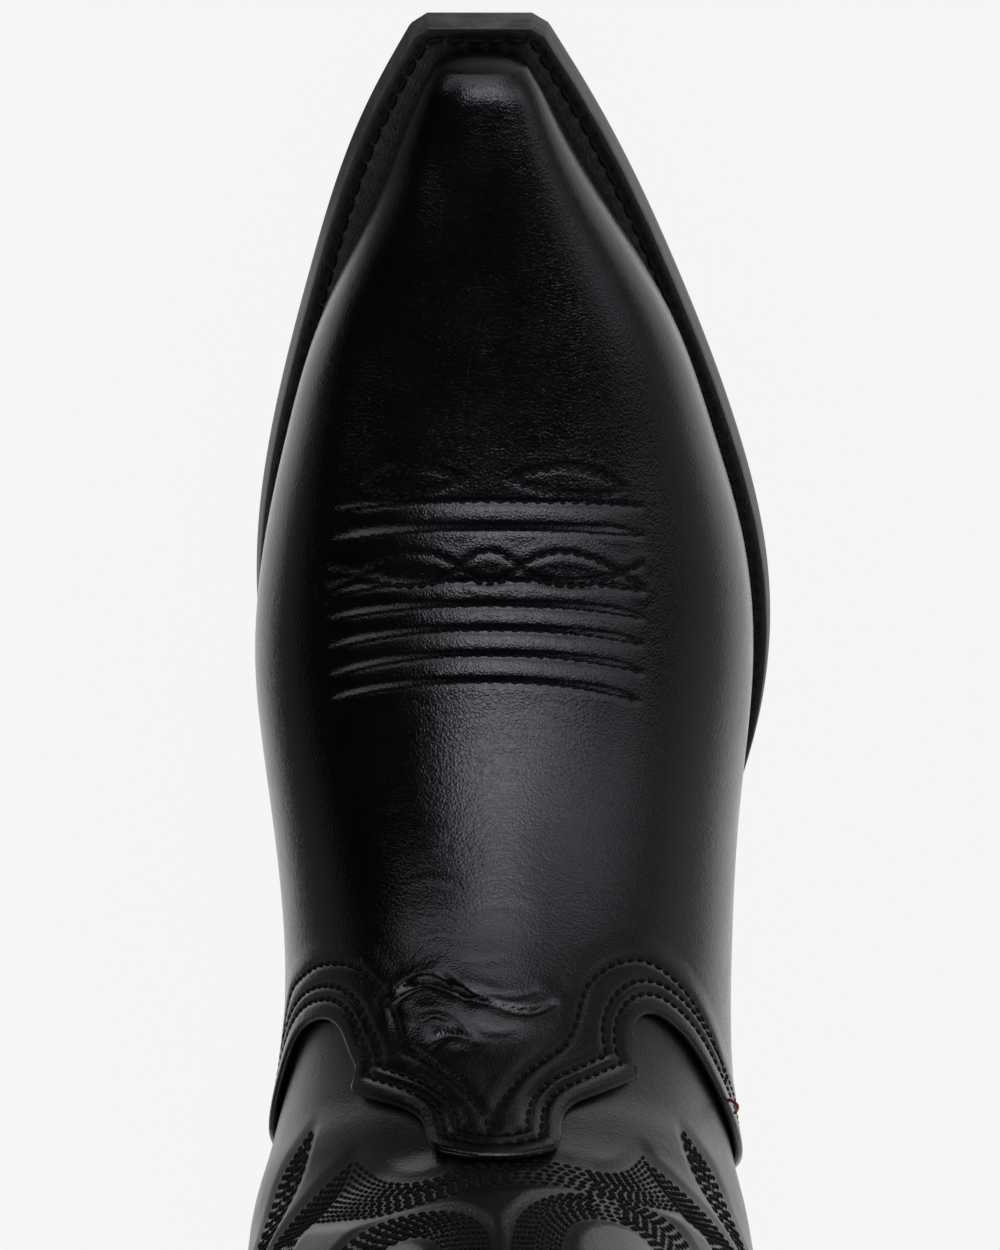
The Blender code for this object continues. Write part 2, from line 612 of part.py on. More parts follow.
def add_heel_block(name, low, high, material, collection, follow_sole=False):
    """A lift of the heel between two heights; the top one follows the slope of the sole."""
    bottom, top = heel_section(low), heel_section(high)
    n = len(bottom)
    top_z = sole_z(top[:, 1]) - GAP if follow_sole else np.full(n, high)
    points = np.concatenate([np.column_stack([bottom, np.full(n, low)]), np.column_stack([top, top_z])])
    faces = [(i, (i + 1) % n, n + (i + 1) % n, n + i) for i in range(n)]
    # The end faces are strips between opposite points, so that a curved one stays even.
    for base in (0, n):
        for i in range(n // 2):
            j = n - 1 - i
            if j - i > 2:
                faces.append((base + i, base + i + 1, base + j - 1, base + j))
            elif j - i == 2:
                faces.append((base + i, base + i + 1, base + j))
    obj = add_mesh(name, points, faces, material, collection)
    face_out(obj)
    return obj


def turned(name, profile, segments, place, material, collection):
    """A profile of (radius, z) points, top to bottom, turned about an upright axis."""
    mesh = bpy.data.meshes.new(name)
    edges = [(i, i + 1) for i in range(len(profile) - 1)]
    mesh.from_pydata([(r * MM, 0, z * MM) for r, z in profile], edges, [])
    obj = bpy.data.objects.new(name, mesh)
    obj.location = (place[0] * MM, place[1] * MM, 0)
    obj.data.materials.append(material)
    collection.objects.link(obj)
    spin = obj.modifiers.new("turn", "SCREW")
    spin.steps = spin.render_steps = segments
    spin.use_merge_vertices = True
    spin.merge_threshold = 0.00001
    spin.use_smooth_shade = True
    return obj


def add_heel(materials, collection, cutters):
    blocks = [add_heel_block("heel_cap", 0, CAP_THICKNESS, materials["rubber"], collection)]
    low = CAP_THICKNESS + GAP
    for number in range(1, FLAT_LIFTS + 1):
        name = f"heel_lift_{number}"
        blocks.append(add_heel_block(name, low, low + LIFT_THICKNESS, materials["heel_stack"], collection))
        low += LIFT_THICKNESS + GAP
    top = float(sole_z(BREAST))
    name = f"heel_lift_{FLAT_LIFTS + 1}"
    blocks.append(add_heel_block(name, low, top, materials["heel_stack"], collection, follow_sole=True))
    for number, place in enumerate(NAILS, 1):
        shank, head = NAIL_RADIUS + GAP, NAIL_HEAD_RADIUS + GAP
        hole = [(0, NAIL_TOP + 0.8), (shank, NAIL_TOP + 0.8), (shank, NAIL_HEAD_TOP + GAP)]
        hole += [(head, NAIL_HEAD_TOP + GAP), (head, -1), (0, -1)]
        cutter = turned(f"nail_hole_{number}", hole, NAIL_STEPS, place, materials["steel"], cutters)
        cutter.hide_render = True
        cutter.display_type = "WIRE"
        for block in blocks:
            floor = min(corner[2] for corner in block.bound_box) / MM
            if floor < NAIL_TOP:
                cut = block.modifiers.new(f"hole_{number}", "BOOLEAN")
                cut.operation = "DIFFERENCE"
                cut.solver = "EXACT"
                cut.object = cutter
        nail = [(0, NAIL_TOP), (NAIL_RADIUS * 0.5, NAIL_TOP - 0.6), (NAIL_RADIUS, NAIL_TOP - 3)]
        nail += [(NAIL_RADIUS, NAIL_HEAD_TOP), (NAIL_HEAD_RADIUS, NAIL_HEAD_TOP - 0.3)]
        nail += [(NAIL_HEAD_RADIUS, NAIL_BOTTOM), (0, NAIL_BOTTOM)]
        turned(f"heel_nail_{number}", nail, NAIL_STEPS, place, materials["steel"], collection)


def main():
    clear_scene()
    boot = new_collection("cowboy_boot")
    cutters = new_collection("cutters")
    black = (0.012, 0.012, 0.013)
    materials = {
        "vamp": new_material("vamp_leather", black, 0.38),
        "shaft": new_material("shaft_leather", (0.02, 0.02, 0.022), 0.42),
        "trim": new_material("trim_leather", black, 0.5),
        "lining": new_material("lining_leather", (0.35, 0.25, 0.16), 0.7),
        "stiff": new_material("stiffener_board", (0.45, 0.38, 0.28), 0.8),
        "sole_leather": new_material("sole_leather", (0.09, 0.075, 0.065), 0.55),
        "welt": new_material("welt_leather", (0.015, 0.014, 0.014), 0.55),
        "insole": new_material("insole_leather", (0.5, 0.36, 0.22), 0.75),
        "cork": new_material("cork", (0.42, 0.28, 0.16), 0.9),
        "heel_stack": new_material("heel_leather", (0.02, 0.018, 0.017), 0.45),
        "rubber": new_material("heel_rubber", (0.02, 0.02, 0.02), 0.8),
        "steel": new_material("steel", (0.5, 0.5, 0.5), 0.35, 1.0),
    }
    add_sole(materials, boot)
    add_heel(materials, boot, cutters)
    add_vamp(materials["vamp"], boot)
    add_heel_wrap("counter_cover", COVER_LIFT, 0, 1, 6, 25, OUTER_LEATHER, materials["vamp"], boot)
    stiff = materials["stiff"]
    reach = STIFFENER_REACH
    add_heel_wrap("heel_stiffener", STIFFENER_LIFT, LAP + 3, reach, 5, 21, SHAFT_LEATHER, stiff, boot)
    add_toe_puff(stiff, boot)
    add_shaft_front(materials["shaft"], boot)
    add_shaft_back(materials["shaft"], boot)
    add_linings(materials["lining"], boot)
    for name, side in (("medial", MEDIAL), ("lateral", LATERAL)):
        add_piping(f"side_piping_{name}", side, materials["trim"], boot)
        add_pull_strap(f"pull_strap_{name}", side, materials["trim"], boot)
    add_top_binding(materials["trim"], boot)


main()
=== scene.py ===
"""Looks of a right-foot western boot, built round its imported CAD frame.

The toe points along -Y, the little-toe (lateral) side is -X and the boot stands on z = 0. Lengths are in
millimetres until a mesh is made. As in the CAD, the upper is one smooth surface: s runs along its front line
from the toe tip to the top of the shaft, and t round each section, 0 on that line and +1 or -1 at the sole or
on the back line. A t between 1 and 2 stands for t - 2, so that a row can cross the back line.
"""

import math

import bmesh
import bpy
import numpy as np
from mathutils import Matrix, Vector
from mathutils.kdtree import KDTree


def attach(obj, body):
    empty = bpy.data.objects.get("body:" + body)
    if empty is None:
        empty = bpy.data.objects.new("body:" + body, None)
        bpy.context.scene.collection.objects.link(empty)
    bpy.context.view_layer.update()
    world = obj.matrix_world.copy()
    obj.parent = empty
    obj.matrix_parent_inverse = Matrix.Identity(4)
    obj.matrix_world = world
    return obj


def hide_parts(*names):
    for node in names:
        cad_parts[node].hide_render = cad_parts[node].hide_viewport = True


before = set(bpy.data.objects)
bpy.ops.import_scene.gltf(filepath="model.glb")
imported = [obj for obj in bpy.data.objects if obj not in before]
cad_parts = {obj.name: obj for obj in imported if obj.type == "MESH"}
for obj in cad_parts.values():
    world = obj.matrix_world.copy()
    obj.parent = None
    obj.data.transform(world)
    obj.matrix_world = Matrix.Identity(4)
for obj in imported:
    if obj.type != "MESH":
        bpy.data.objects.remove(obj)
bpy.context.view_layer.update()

MM = 0.001
MEDIAL, LATERAL = 1, -1

SOLE_FRONT, SOLE_BACK = -155.0, 155.0
HEEL_CURVE_START = 112.0
HEEL_SQUARENESS, HEEL_SEAT_HALF = 2.2, 33.5
OUTSOLE_THICKNESS, WELT_THICKNESS, GAP = 5.0, 3.0, 0.3
FRONT_CORNERS = -5.5, 14.5
FRONT_CHAMFER = (2.0, -8.6, 17.4)
FEATHER_BACK = 151.5
FEATHER_HEIGHT = OUTSOLE_THICKNESS + WELT_THICKNESS + 2 * GAP
BREAST, WELT_END, WELT_TUCK = 88.0, 84.0, 3.5
WELT_BOTTOM, WELT_TOP = OUTSOLE_THICKNESS + GAP, OUTSOLE_THICKNESS + GAP + WELT_THICKNESS
WELT_PITCH, STITCH_INSET = 4.0, 3.7
HEEL_BOTTOM_BACK, HEEL_BOTTOM_BREAST, HEEL_FLANK = 141.0, 92.0, 0.42
HEEL_TOP_HALF_WIDTH, HEEL_BOTTOM_HALF_WIDTH = 32.8, 28.5
CAP_THICKNESS, LIFT_THICKNESS = 6.0, 5.0
SEAM_SPACE = 0.0045
SHAFT_DEPTH, LINING_DEPTH = 2.05, 5.7
# How far a sheet's cut edge turns in under it
HEM = 3.0
# Millimetres round the boot for one t, about
T_SCALE = 170
SIDE_PEAK, FRONT_DIP = 408.0, 372.0
LAST = [
    (-150.2, 31.8, -150.2, 8.6, 8.6),
    (-135.0, 36.9, -134.0, 15.4, 15.8),
    (-120.0, 41.0, -118.0, 22.0, 24.0),
    (-100.0, 47.0, -96.0, 32.7, 35.2),
    (-80.0, 54.0, -73.0, 40.3, 42.1),
    (-60.0, 62.5, -49.0, 46.2, 47.4),
    (-40.0, 73.0, -23.0, 48.9, 48.6),
    (-20.0, 87.0, 6.0, 46.0, 45.9),
    (-3.0, 103.0, 38.0, 42.8, 44.3),
    (9.0, 122.0, 75.0, 44.4, 45.7),
    (15.0, 142.0, 122.0, 50.6, 51.8),
    (17.0, 160.0, 178.0, 51.2, 53.8),
    (15.0, 190.0, 232.0, 50.0, 54.0),
    (11.0, 225.0, 292.0, 50.6, 53.4),
    (8.0, 265.0, 350.0, 51.8, 53.2),
    (6.0, 305.0, 412.0, 53.0, 53.6),
    (5.0, 345.0, 468.0, 54.0, 54.0),
    (5.0, 353.0, 476.0, 54.1, 54.1),
]
TIP_LENGTH, TIP_SQUARENESS = 2.9, 2.5
# The tip stands this much further forward than s says, so that what s places stays where it is.
TIP_STRETCH = 2.7
HEEL_TURN = 57.0
HEEL_MIDDLE = HEEL_CURVE_START + HEEL_TURN


def spline(knots):
    """The natural cubic spline through (u, value) knots, as a function that holds its end values."""
    u, value = np.array(knots, float).T
    step = np.diff(u)
    system, pull = np.eye(len(u)), np.zeros(len(u))
    for i in range(1, len(step)):
        system[i, i - 1 : i + 2] = step[i - 1], 2 * (step[i - 1] + step[i]), step[i]
        pull[i] = 6 * ((value[i + 1] - value[i]) / step[i] - (value[i] - value[i - 1]) / step[i - 1])
    bend = np.linalg.solve(system, pull)

    def at(x):
        x = np.clip(np.asarray(x, float), u[0], u[-1])
        i = np.clip(np.searchsorted(u, x) - 1, 0, len(step) - 1)
        after, before, h = x - u[i], u[i + 1] - x, step[i]
        cubic = (bend[i] * before**3 + bend[i + 1] * after**3) / (6 * h)
        return (
            cubic
            + (value[i] / h - bend[i] * h / 6) * before
            + (value[i + 1] / h - bend[i + 1] * h / 6) * after
        )

    return at


def line_through(knots):
    """The broken line through (u, value) knots, as a function."""
    u, value = np.array(knots, float).T
    return lambda x: np.interp(x, u, value)


sole_rise = spline(
    [(-155, 11), (-130, 6), (-105, 2.4), (-80, 0.2), (-62, -0.3), (-44, 0.2), (-20, 3), (5, 8.5)]
    + [(30, 16.5), (58, 26.5), (88, 33.5), (120, 36), (155, 37.5)]
)
sole_medial = spline(
    [(-155, 16.5), (-136, 26.2), (-102, 37.5), (-68, 45.8), (-34, 49.6), (-5, 45.5), (20, 36.5)]
    + [(45, 29.5), (70, 28.8), (95, 32.5), (112, 33.5)]
)
sole_lateral = spline(
    [(-155, 7.5), (-136, 18.2), (-102, 33.7), (-68, 46.2), (-34, 53.6), (-5, 51.5), (20, 43.5)]
    + [(45, 36.5), (70, 33.2), (95, 33.2), (112, 33.5)]
)
welt_width = spline([(-155, 7.6), (-100, 7.6), (-40, 6.2), (10, 5.0), (60, 3.6), (112, 3.3)])
back_y = spline(
    [(40, 150.5), (46, 151.5), (65, 154.7), (88, 153.2), (112, 148.7), (140, 145.2), (175, 145.7)]
    + [(220, 148.9), (270, 151.7), (320, 153.3), (353, 153.7)]
)
front_line = np.array(LAST)[:, :2]
ALONG = np.concatenate([[0], np.cumsum(np.hypot(*np.diff(front_line, axis=0).T))])
ALONG[1:] -= TIP_STRETCH
S_TOP = ALONG[-1]
ridge_y, ridge_z, feather_of, half_medial, half_lateral = (
    spline(list(zip(ALONG, column))) for column in np.array(LAST).T
)
ridge_x = spline([(0, 3.8), (60, 3.4), (120, 2.6), (170, 2.0), (215, 1.6), (260, 0), (S_TOP, 0)])
front_roundness = spline([(0, 2.7), (50, 2.5), (110, 2.2), (180, 2.15), (260, 2.2), (S_TOP, 2.2)])
back_roundness = spline(
    [(0, 2.7), (50, 2.5), (110, 2.3), (150, 2.1), (186, 1.75), (198, 1.6), (207, 1.65), (215, 1.9)]
    + [(222, 2.1), (236, 2.1), (270, 2.2), (S_TOP, 2.2)]
)
front_panel_start = {
    MEDIAL: line_through(
        [(0, 203), (0.2, 185), (0.33, 166), (0.42, 165), (0.55, 172), (0.75, 179), (1, 181)]
    ),
    LATERAL: line_through(
        [(0, 203), (0.17, 184), (0.22, 168), (0.3, 166), (0.45, 175), (0.7, 182), (1, 181)]
    ),
}
counter_top = spline(
    [(0, 258), (0.12, 255), (0.26, 247), (0.4, 237), (0.55, 226), (0.7, 214), (0.85, 204), (1, 197)]
)
seam_y = spline([(36, 76), (60, 77), (100, 80), (150, 81), (353, 79)])
COUNTER_START = 81.0


def sole_z(y):
    """Height of the outsole's underside."""
    return np.maximum(sole_rise(y), 0)


def shoulder(share, power):
    """From 0 to 1 along a quarter of a superellipse."""
    return (1 - (1 - np.clip(share, 0, 1)) ** power) ** (1 / power)


def signed_power(value, power):
    return np.sign(value) * np.abs(value) ** power


def unit(vectors):
    return vectors / np.maximum(np.linalg.norm(vectors, axis=-1, keepdims=True), 1e-9)


def heel_arc(turn, half, start, back):
    """x and y round the heel, as turn goes from 0 at the end of the flank to a quarter circle at the back."""
    power = 2 / HEEL_SQUARENESS
    return half * np.clip(np.cos(turn), 0, 1) ** power, start + (back - start) * np.sin(turn) ** power


def inset_outline(y, side, inset):
    """Half width of the sole at y, in from its edge by inset measured square to that edge."""
    outline = np.where(side > 0, sole_medial(y), sole_lateral(y))
    ahead = np.where(side > 0, sole_medial(y + 0.5), sole_lateral(y + 0.5))
    behind = np.where(side > 0, sole_medial(y - 0.5), sole_lateral(y - 0.5))
    return outline - inset * np.hypot(1, ahead - behind)


def feather_edge(f, side):
    """Half width, y and z where the upper meets the welt; past HEEL_MIDDLE it climbs the back line."""
    y_side = np.minimum(f, HEEL_CURVE_START)
    turn = np.clip((f - HEEL_CURVE_START) / HEEL_TURN, 0, 1) * np.pi / 2
    half, y = heel_arc(turn, inset_outline(y_side, side, welt_width(y_side)), y_side, FEATHER_BACK)
    climb = np.maximum(f - HEEL_MIDDLE, 0)
    z_back = sole_z(FEATHER_BACK) + FEATHER_HEIGHT + climb
    climbing = f > HEEL_MIDDLE
    return (
        np.where(climbing, 0, half),
        np.where(climbing, back_y(z_back), y),
        np.where(climbing, z_back, sole_z(y) + FEATHER_HEIGHT),
    )


def upper(s, t):
    """Points of the upper's outer surface, in millimetres."""
    s, t = np.broadcast_arrays(np.asarray(s, float), np.asarray(t, float))
    side = np.where(t < 0, LATERAL, MEDIAL)
    tip = shoulder(s / TIP_LENGTH, TIP_SQUARENESS)
    half, end_y, end_z = feather_edge(feather_of(s), side)
    other_half = feather_edge(feather_of(s), -side)[0]
    widest = np.where(side > 0, half_medial(s), half_lateral(s))
    share = np.clip((half + other_half) / 2 / widest, 0, 0.999)
    n_front, n_back = front_roundness(s), back_roundness(s)
    a = np.abs(t)
    n = n_front + (n_back - n_front) * a * a * (3 - 2 * a)
    end = np.pi - np.arcsin(share ** (n_back / 2))
    drop = 1 - signed_power(np.cos(a * end), 2 / n)
    whole_drop = 1 - signed_power(np.cos(end), 2 / n_back)
    middle = ridge_x(s) + (side * (half - other_half) / 2 - ridge_x(s)) * a * a * tip
    x = middle + side * widest * tip * signed_power(np.sin(a * end), 2 / n)
    top_y, top_z = ridge_y(s), end_z + (ridge_z(s) - end_z) * tip
    c = drop / whole_drop
    return np.stack([x, top_y + (end_y - top_y) * c, top_z + (end_z - top_z) * c], -1)


def upper_normal(s, t):
    """Outward normals. Near the sole they are taken a little inside the edge, where sections still spread."""
    s, t = np.broadcast_arrays(np.maximum(s, 0.05), t)
    limit = np.interp(s, [228, 236], [0.97, 1])
    inside = np.clip(t, -limit, limit)
    step = np.clip(s * 0.05, 0.3, 3)
    along = upper(np.minimum(s + step, S_TOP), inside) - upper(np.maximum(s - step, 0), inside)
    around = upper(s, inside + 0.012) - upper(s, inside - 0.012)
    n = np.cross(around, along)
    on_back_line = (np.abs(t) >= 1) & (feather_of(s) >= HEEL_MIDDLE)
    n[..., 0] = np.where(on_back_line, 0, n[..., 0])
    near_sole = (np.abs(t) > 0.8) & (s < 232)
    n[..., 2] = np.where(near_sole, np.minimum(n[..., 2], -0.02), n[..., 2])
    return unit(n)


def wrapped(t):
    return np.where(np.asarray(t) > 1, np.asarray(t) - 2, t)


def normal_at(s, t):
    return upper_normal(np.minimum(s, S_TOP - 5), wrapped(t))


def surface(s, t, depth=0.0):
    """Points at a depth below the upper's outer surface. Past the top of the shaft they go straight up."""
    s, t, depth = np.broadcast_arrays(np.asarray(s, float), wrapped(t), np.asarray(depth, float))
    held = np.minimum(s, S_TOP - 5)
    points = upper(held, t) - depth[..., None] * upper_normal(held, t)
    points[..., 2] += s - held
    return points


def s_at_feather(f):
    s = np.linspace(0, S_TOP, 4000)
    return np.interp(f, feather_of(s), s)


def solve_side_seam():
    """t of the side seams as a function of s, where each section crosses seam_y; 1 if it ends ahead of it."""
    s, t = np.meshgrid(np.linspace(0, S_TOP, 840), np.linspace(0.3, 1, 281), indexing="ij")
    points = upper(s, t)
    crossed = points[..., 1] > seam_y(points[..., 2])
    seam = np.where(crossed.any(axis=1), t[0][crossed.argmax(axis=1)], 1)
    return line_through(list(zip(s[:, 0], seam)))


side_seam = solve_side_seam()


def top_line(t):
    return FRONT_DIP + (SIDE_PEAK - FRONT_DIP) * np.abs(np.sin(np.pi * np.asarray(t))) ** 1.4


# ---------------------------------------------------------------- meshes


def new_object(name, points, faces, material, node=None):
    """A piece on the one body. Its one slot holds its material."""
    mesh = bpy.data.meshes.new(name)
    mesh.from_pydata((np.reshape(points, (-1, 3)) * MM).tolist(), [], faces)
    mesh.shade_smooth()
    mesh.materials.append(material)
    obj = bpy.data.objects.new(name, mesh)
    bpy.context.scene.collection.objects.link(obj)
    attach(obj, "root")
    if node:
        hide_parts(node)
    return obj


def grid_faces(rows, columns, wrap=False, start=0):
    i, j = np.meshgrid(np.arange(rows - 1), np.arange(columns if wrap else columns - 1), indexing="ij")
    k = (j + 1) % columns
    quads = [i * columns + j, i * columns + k, (i + 1) * columns + k, (i + 1) * columns + j]
    return (np.stack(quads, -1).reshape(-1, 4) + start).tolist()


def leather_sheet(name, s, t, depth, thickness, material, node, pole=False):
    """An outer face on the grid (s, t), with a rolled cut edge and a hem that turns in under it."""
    outer = surface(s, t, depth)
    rows, columns = outer.shape[:2]
    index = np.arange(rows * columns).reshape(rows, columns)
    if pole:
        loop = np.concatenate([index[:, -1], index[-1, -2::-1], index[-2::-1, 0]])
    else:
        loop = np.concatenate([index[0, :-1], index[:, -1], index[-1, -2::-1], index[-2:0:-1, 0]])
    flat = outer.reshape(-1, 3)
    edge = flat[loop]
    n = normal_at(*(np.broadcast_to(v, (rows, columns)).reshape(-1)[loop] for v in (s, t)))
    along = np.gradient(edge, axis=0) if pole else np.roll(edge, -1, 0) - np.roll(edge, 1, 0)
    out = unit(np.cross(unit(along), n))
    r = thickness / 2
    turns = np.radians([36, 72, 108, 144, 180])
    rings = [edge + out * r * np.sin(a) - n * r * (1 - np.cos(a)) for a in turns]
    rings.append(edge - n * thickness - out * HEM)
    faces = grid_faces(rows, columns)
    count = len(loop)
    j = np.arange(count - 1 if pole else count)
    k = (j + 1) % count
    previous = loop
    for ring in range(len(rings)):
        current = rows * columns + ring * count + np.arange(count)
        faces += np.stack([previous[k], previous[j], current[j], current[k]], -1).tolist()
        previous = current
    return new_object(name, np.concatenate([flat, *rings]), faces, material, node)


def shell(name, outer, inner, material, node, wrap=False):
    """A closed sheet between two grids of points. With wrap its last column meets its first."""
    rows, columns = outer.shape[:2]
    size = rows * columns
    faces = grid_faces(rows, columns, wrap)
    faces += [face[::-1] for face in grid_faces(rows, columns, wrap, size)]
    index = np.arange(size).reshape(rows, columns)
    if wrap:
        loops = [np.append(index[0], index[0, 0]), np.append(index[-1], index[-1, 0])[::-1]]
    else:
        ring = [index[0, :-1], index[:-1, -1], index[-1, :0:-1], index[:0:-1, 0], index[0, :1]]
        loops = [np.concatenate(ring)]
    for loop in loops:
        faces += np.stack([loop[1:], loop[:-1], loop[:-1] + size, loop[1:] + size], -1).tolist()
    return new_object(name, np.stack([outer, inner]), faces, material, node)


def thickened(name, middle, half, material, node, wrap=False):
    """A closed sheet that reaches half to either side of a grid of points."""
    over = np.roll(middle, -1, 1) - np.roll(middle, 1, 1) if wrap else np.gradient(middle, axis=1)
    n = unit(np.cross(over, np.gradient(middle, axis=0))) * half
    return shell(name, middle + n, middle - n, material, node, wrap)


def tube(name, points, radius, material, around, node=None):
    """A round cord along points, with closed ends."""
    along = unit(np.gradient(points, axis=0))
    side = unit(np.cross(along, [0.3, 1, 0.2]))
    other = np.cross(along, side)
    a = np.linspace(0, 2 * np.pi, around, endpoint=False)[:, None]
    circle = np.cos(a) * side[:, None] + np.sin(a) * other[:, None]
    size = len(points) * around
    faces = [face[::-1] for face in grid_faces(len(points), around, True)]
    faces += [list(range(around)), list(range(size - 1, size - around - 1, -1))]
    return new_object(name, points[:, None] + circle * radius, faces, material, node)


BEAD_STEPS = np.array([-0.86, -0.3, 0.3, 0.86])
BEAD_SIDES = 6


def bead():
    """One stitch, 2 long, 2 wide and 2 high about the origin, with its faces."""
    a = np.linspace(0, 2 * np.pi, BEAD_SIDES, endpoint=False)
    rings = [[(-1, 0, 0)]]
    for x in BEAD_STEPS:
        r = (1 - abs(x) ** 3) ** 0.5
        rings.append([(x, r * math.cos(b), r * math.sin(b)) for b in a])
    rings.append([(1, 0, 0)])
    points = np.array([p for ring in rings for p in ring])
    last = len(points) - 1
    faces = []
    for j in range(BEAD_SIDES):
        k = (j + 1) % BEAD_SIDES
        faces.append((0, 1 + k, 1 + j, 0))
        for ring in range(len(BEAD_STEPS) - 1):
            low, high = 1 + ring * BEAD_SIDES, 1 + (ring + 1) * BEAD_SIDES
            faces.append((low + j, low + k, high + k, high + j))
        high = 1 + (len(BEAD_STEPS) - 1) * BEAD_SIDES
        faces.append((high + j, high + k, last, high + j))
    return points, np.array(faces)


BEAD_POINTS, BEAD_FACES = bead()


def bead_mesh(name, centres, ahead, normals, length, width, rise, seed):
    """Stitches at centres, each lying along ahead and dipping into the leather at its ends."""
    random = np.random.default_rng(seed)
    count = len(centres)
    along = unit(ahead)
    side = unit(np.cross(normals, along))
    turn = random.uniform(-0.1, 0.1, count)[:, None] + 0.06
    along, side = along * np.cos(turn) + side * np.sin(turn), side * np.cos(turn) - along * np.sin(turn)
    size = random.uniform(0.93, 1.07, (count, 1, 1))
    local = BEAD_POINTS[None] * np.array([length / 2, width / 2, rise])
    local[..., 2] -= rise * 0.9 * BEAD_POINTS[None, :, 0] ** 4
    local = local * size
    points = (
        centres[:, None]
        + local[..., :1] * along[:, None]
        + local[..., 1:2] * side[:, None]
        + local[..., 2:] * normals[:, None]
    )
    faces = (BEAD_FACES[None] + len(BEAD_POINTS) * np.arange(count)[:, None, None]).reshape(-1, 4)
    faces = [face[:3] if face[0] == face[3] else face for face in faces.tolist()]
    return new_object(name, points, faces, THREAD)


class Rows:
    """Rows of stitching on the upper, as dense (s, t) lines."""

    def __init__(self):
        self.lines = []

    def add(self, s, t):
        self.lines.append((np.asarray(s, float), np.asarray(t, float)))
        return self

    def through(self, knots):
        return self.add(*smooth_line(knots))

    def samples(self, spacing=0.4):
        """Points in space along all rows."""
        found = []
        for s, t in self.lines:
            points = surface(s, t)
            run = run_length(points)
            at = np.linspace(0, run[-1], max(int(run[-1] / spacing), 2))
            found.append(points_at(at, run, points))
        return np.concatenate(found)

    def stitch(self, name, depth, pitch, width, rise, seed):
        """Makes the stitches below the outer surface, at a depth that may be a function of (s, t)."""
        level = depth if callable(depth) else lambda s, t: depth
        middle, ahead, normal = [], [], []
        for s, t in self.lines:
            run = run_length(surface(s, t))
            count = max(int(run[-1] / pitch), 1)
            step = run[-1] / count
            at = (np.arange(count) + 0.5) * step
            places = [(np.interp(x, run, s), np.interp(x, run, t)) for x in (at - step / 2, at, at + step / 2)]
            behind, centre, front = (surface(u, v, level(u, v)) for u, v in places)
            middle.append(centre)
            ahead.append(front - behind)
            normal.append(normal_at(*places[1]))
        middle, ahead, normal = (np.concatenate(v) for v in (middle, ahead, normal))
        return bead_mesh(name, middle, ahead, normal, pitch * 0.86, width, rise, seed)


def run_length(points):
    return np.concatenate([[0], np.cumsum(np.linalg.norm(np.diff(points, axis=0), axis=1))])


def points_at(at, run, points):
    """Points at distances along a line whose own points lie at the distances run."""
    return np.stack([np.interp(at, run, axis) for axis in points.T], -1)


def smooth_line(knots, count=300, scale=T_SCALE):
    """The two values along the curve through knots, evenly spaced. The second is scaled to measure length."""
    first, second = np.array(knots, float).T
    run = run_length(np.stack([first, second * scale], -1))
    at = np.linspace(0, run[-1], count)
    return spline(list(zip(run, first)))(at), spline(list(zip(run, second)))(at)


def distance_to(points, samples):
    """Distance from each point to the nearest sample."""
    tree = KDTree(len(samples))
    for i, sample in enumerate(samples):
        tree.insert(sample, i)
    tree.balance()
    return np.array([tree.find(p)[2] for p in np.reshape(points, (-1, 3))]).reshape(points.shape[:-1])


def bump(x, width):
    return np.exp(-((x / width) ** 2))


# ---------------------------------------------------------------- materials


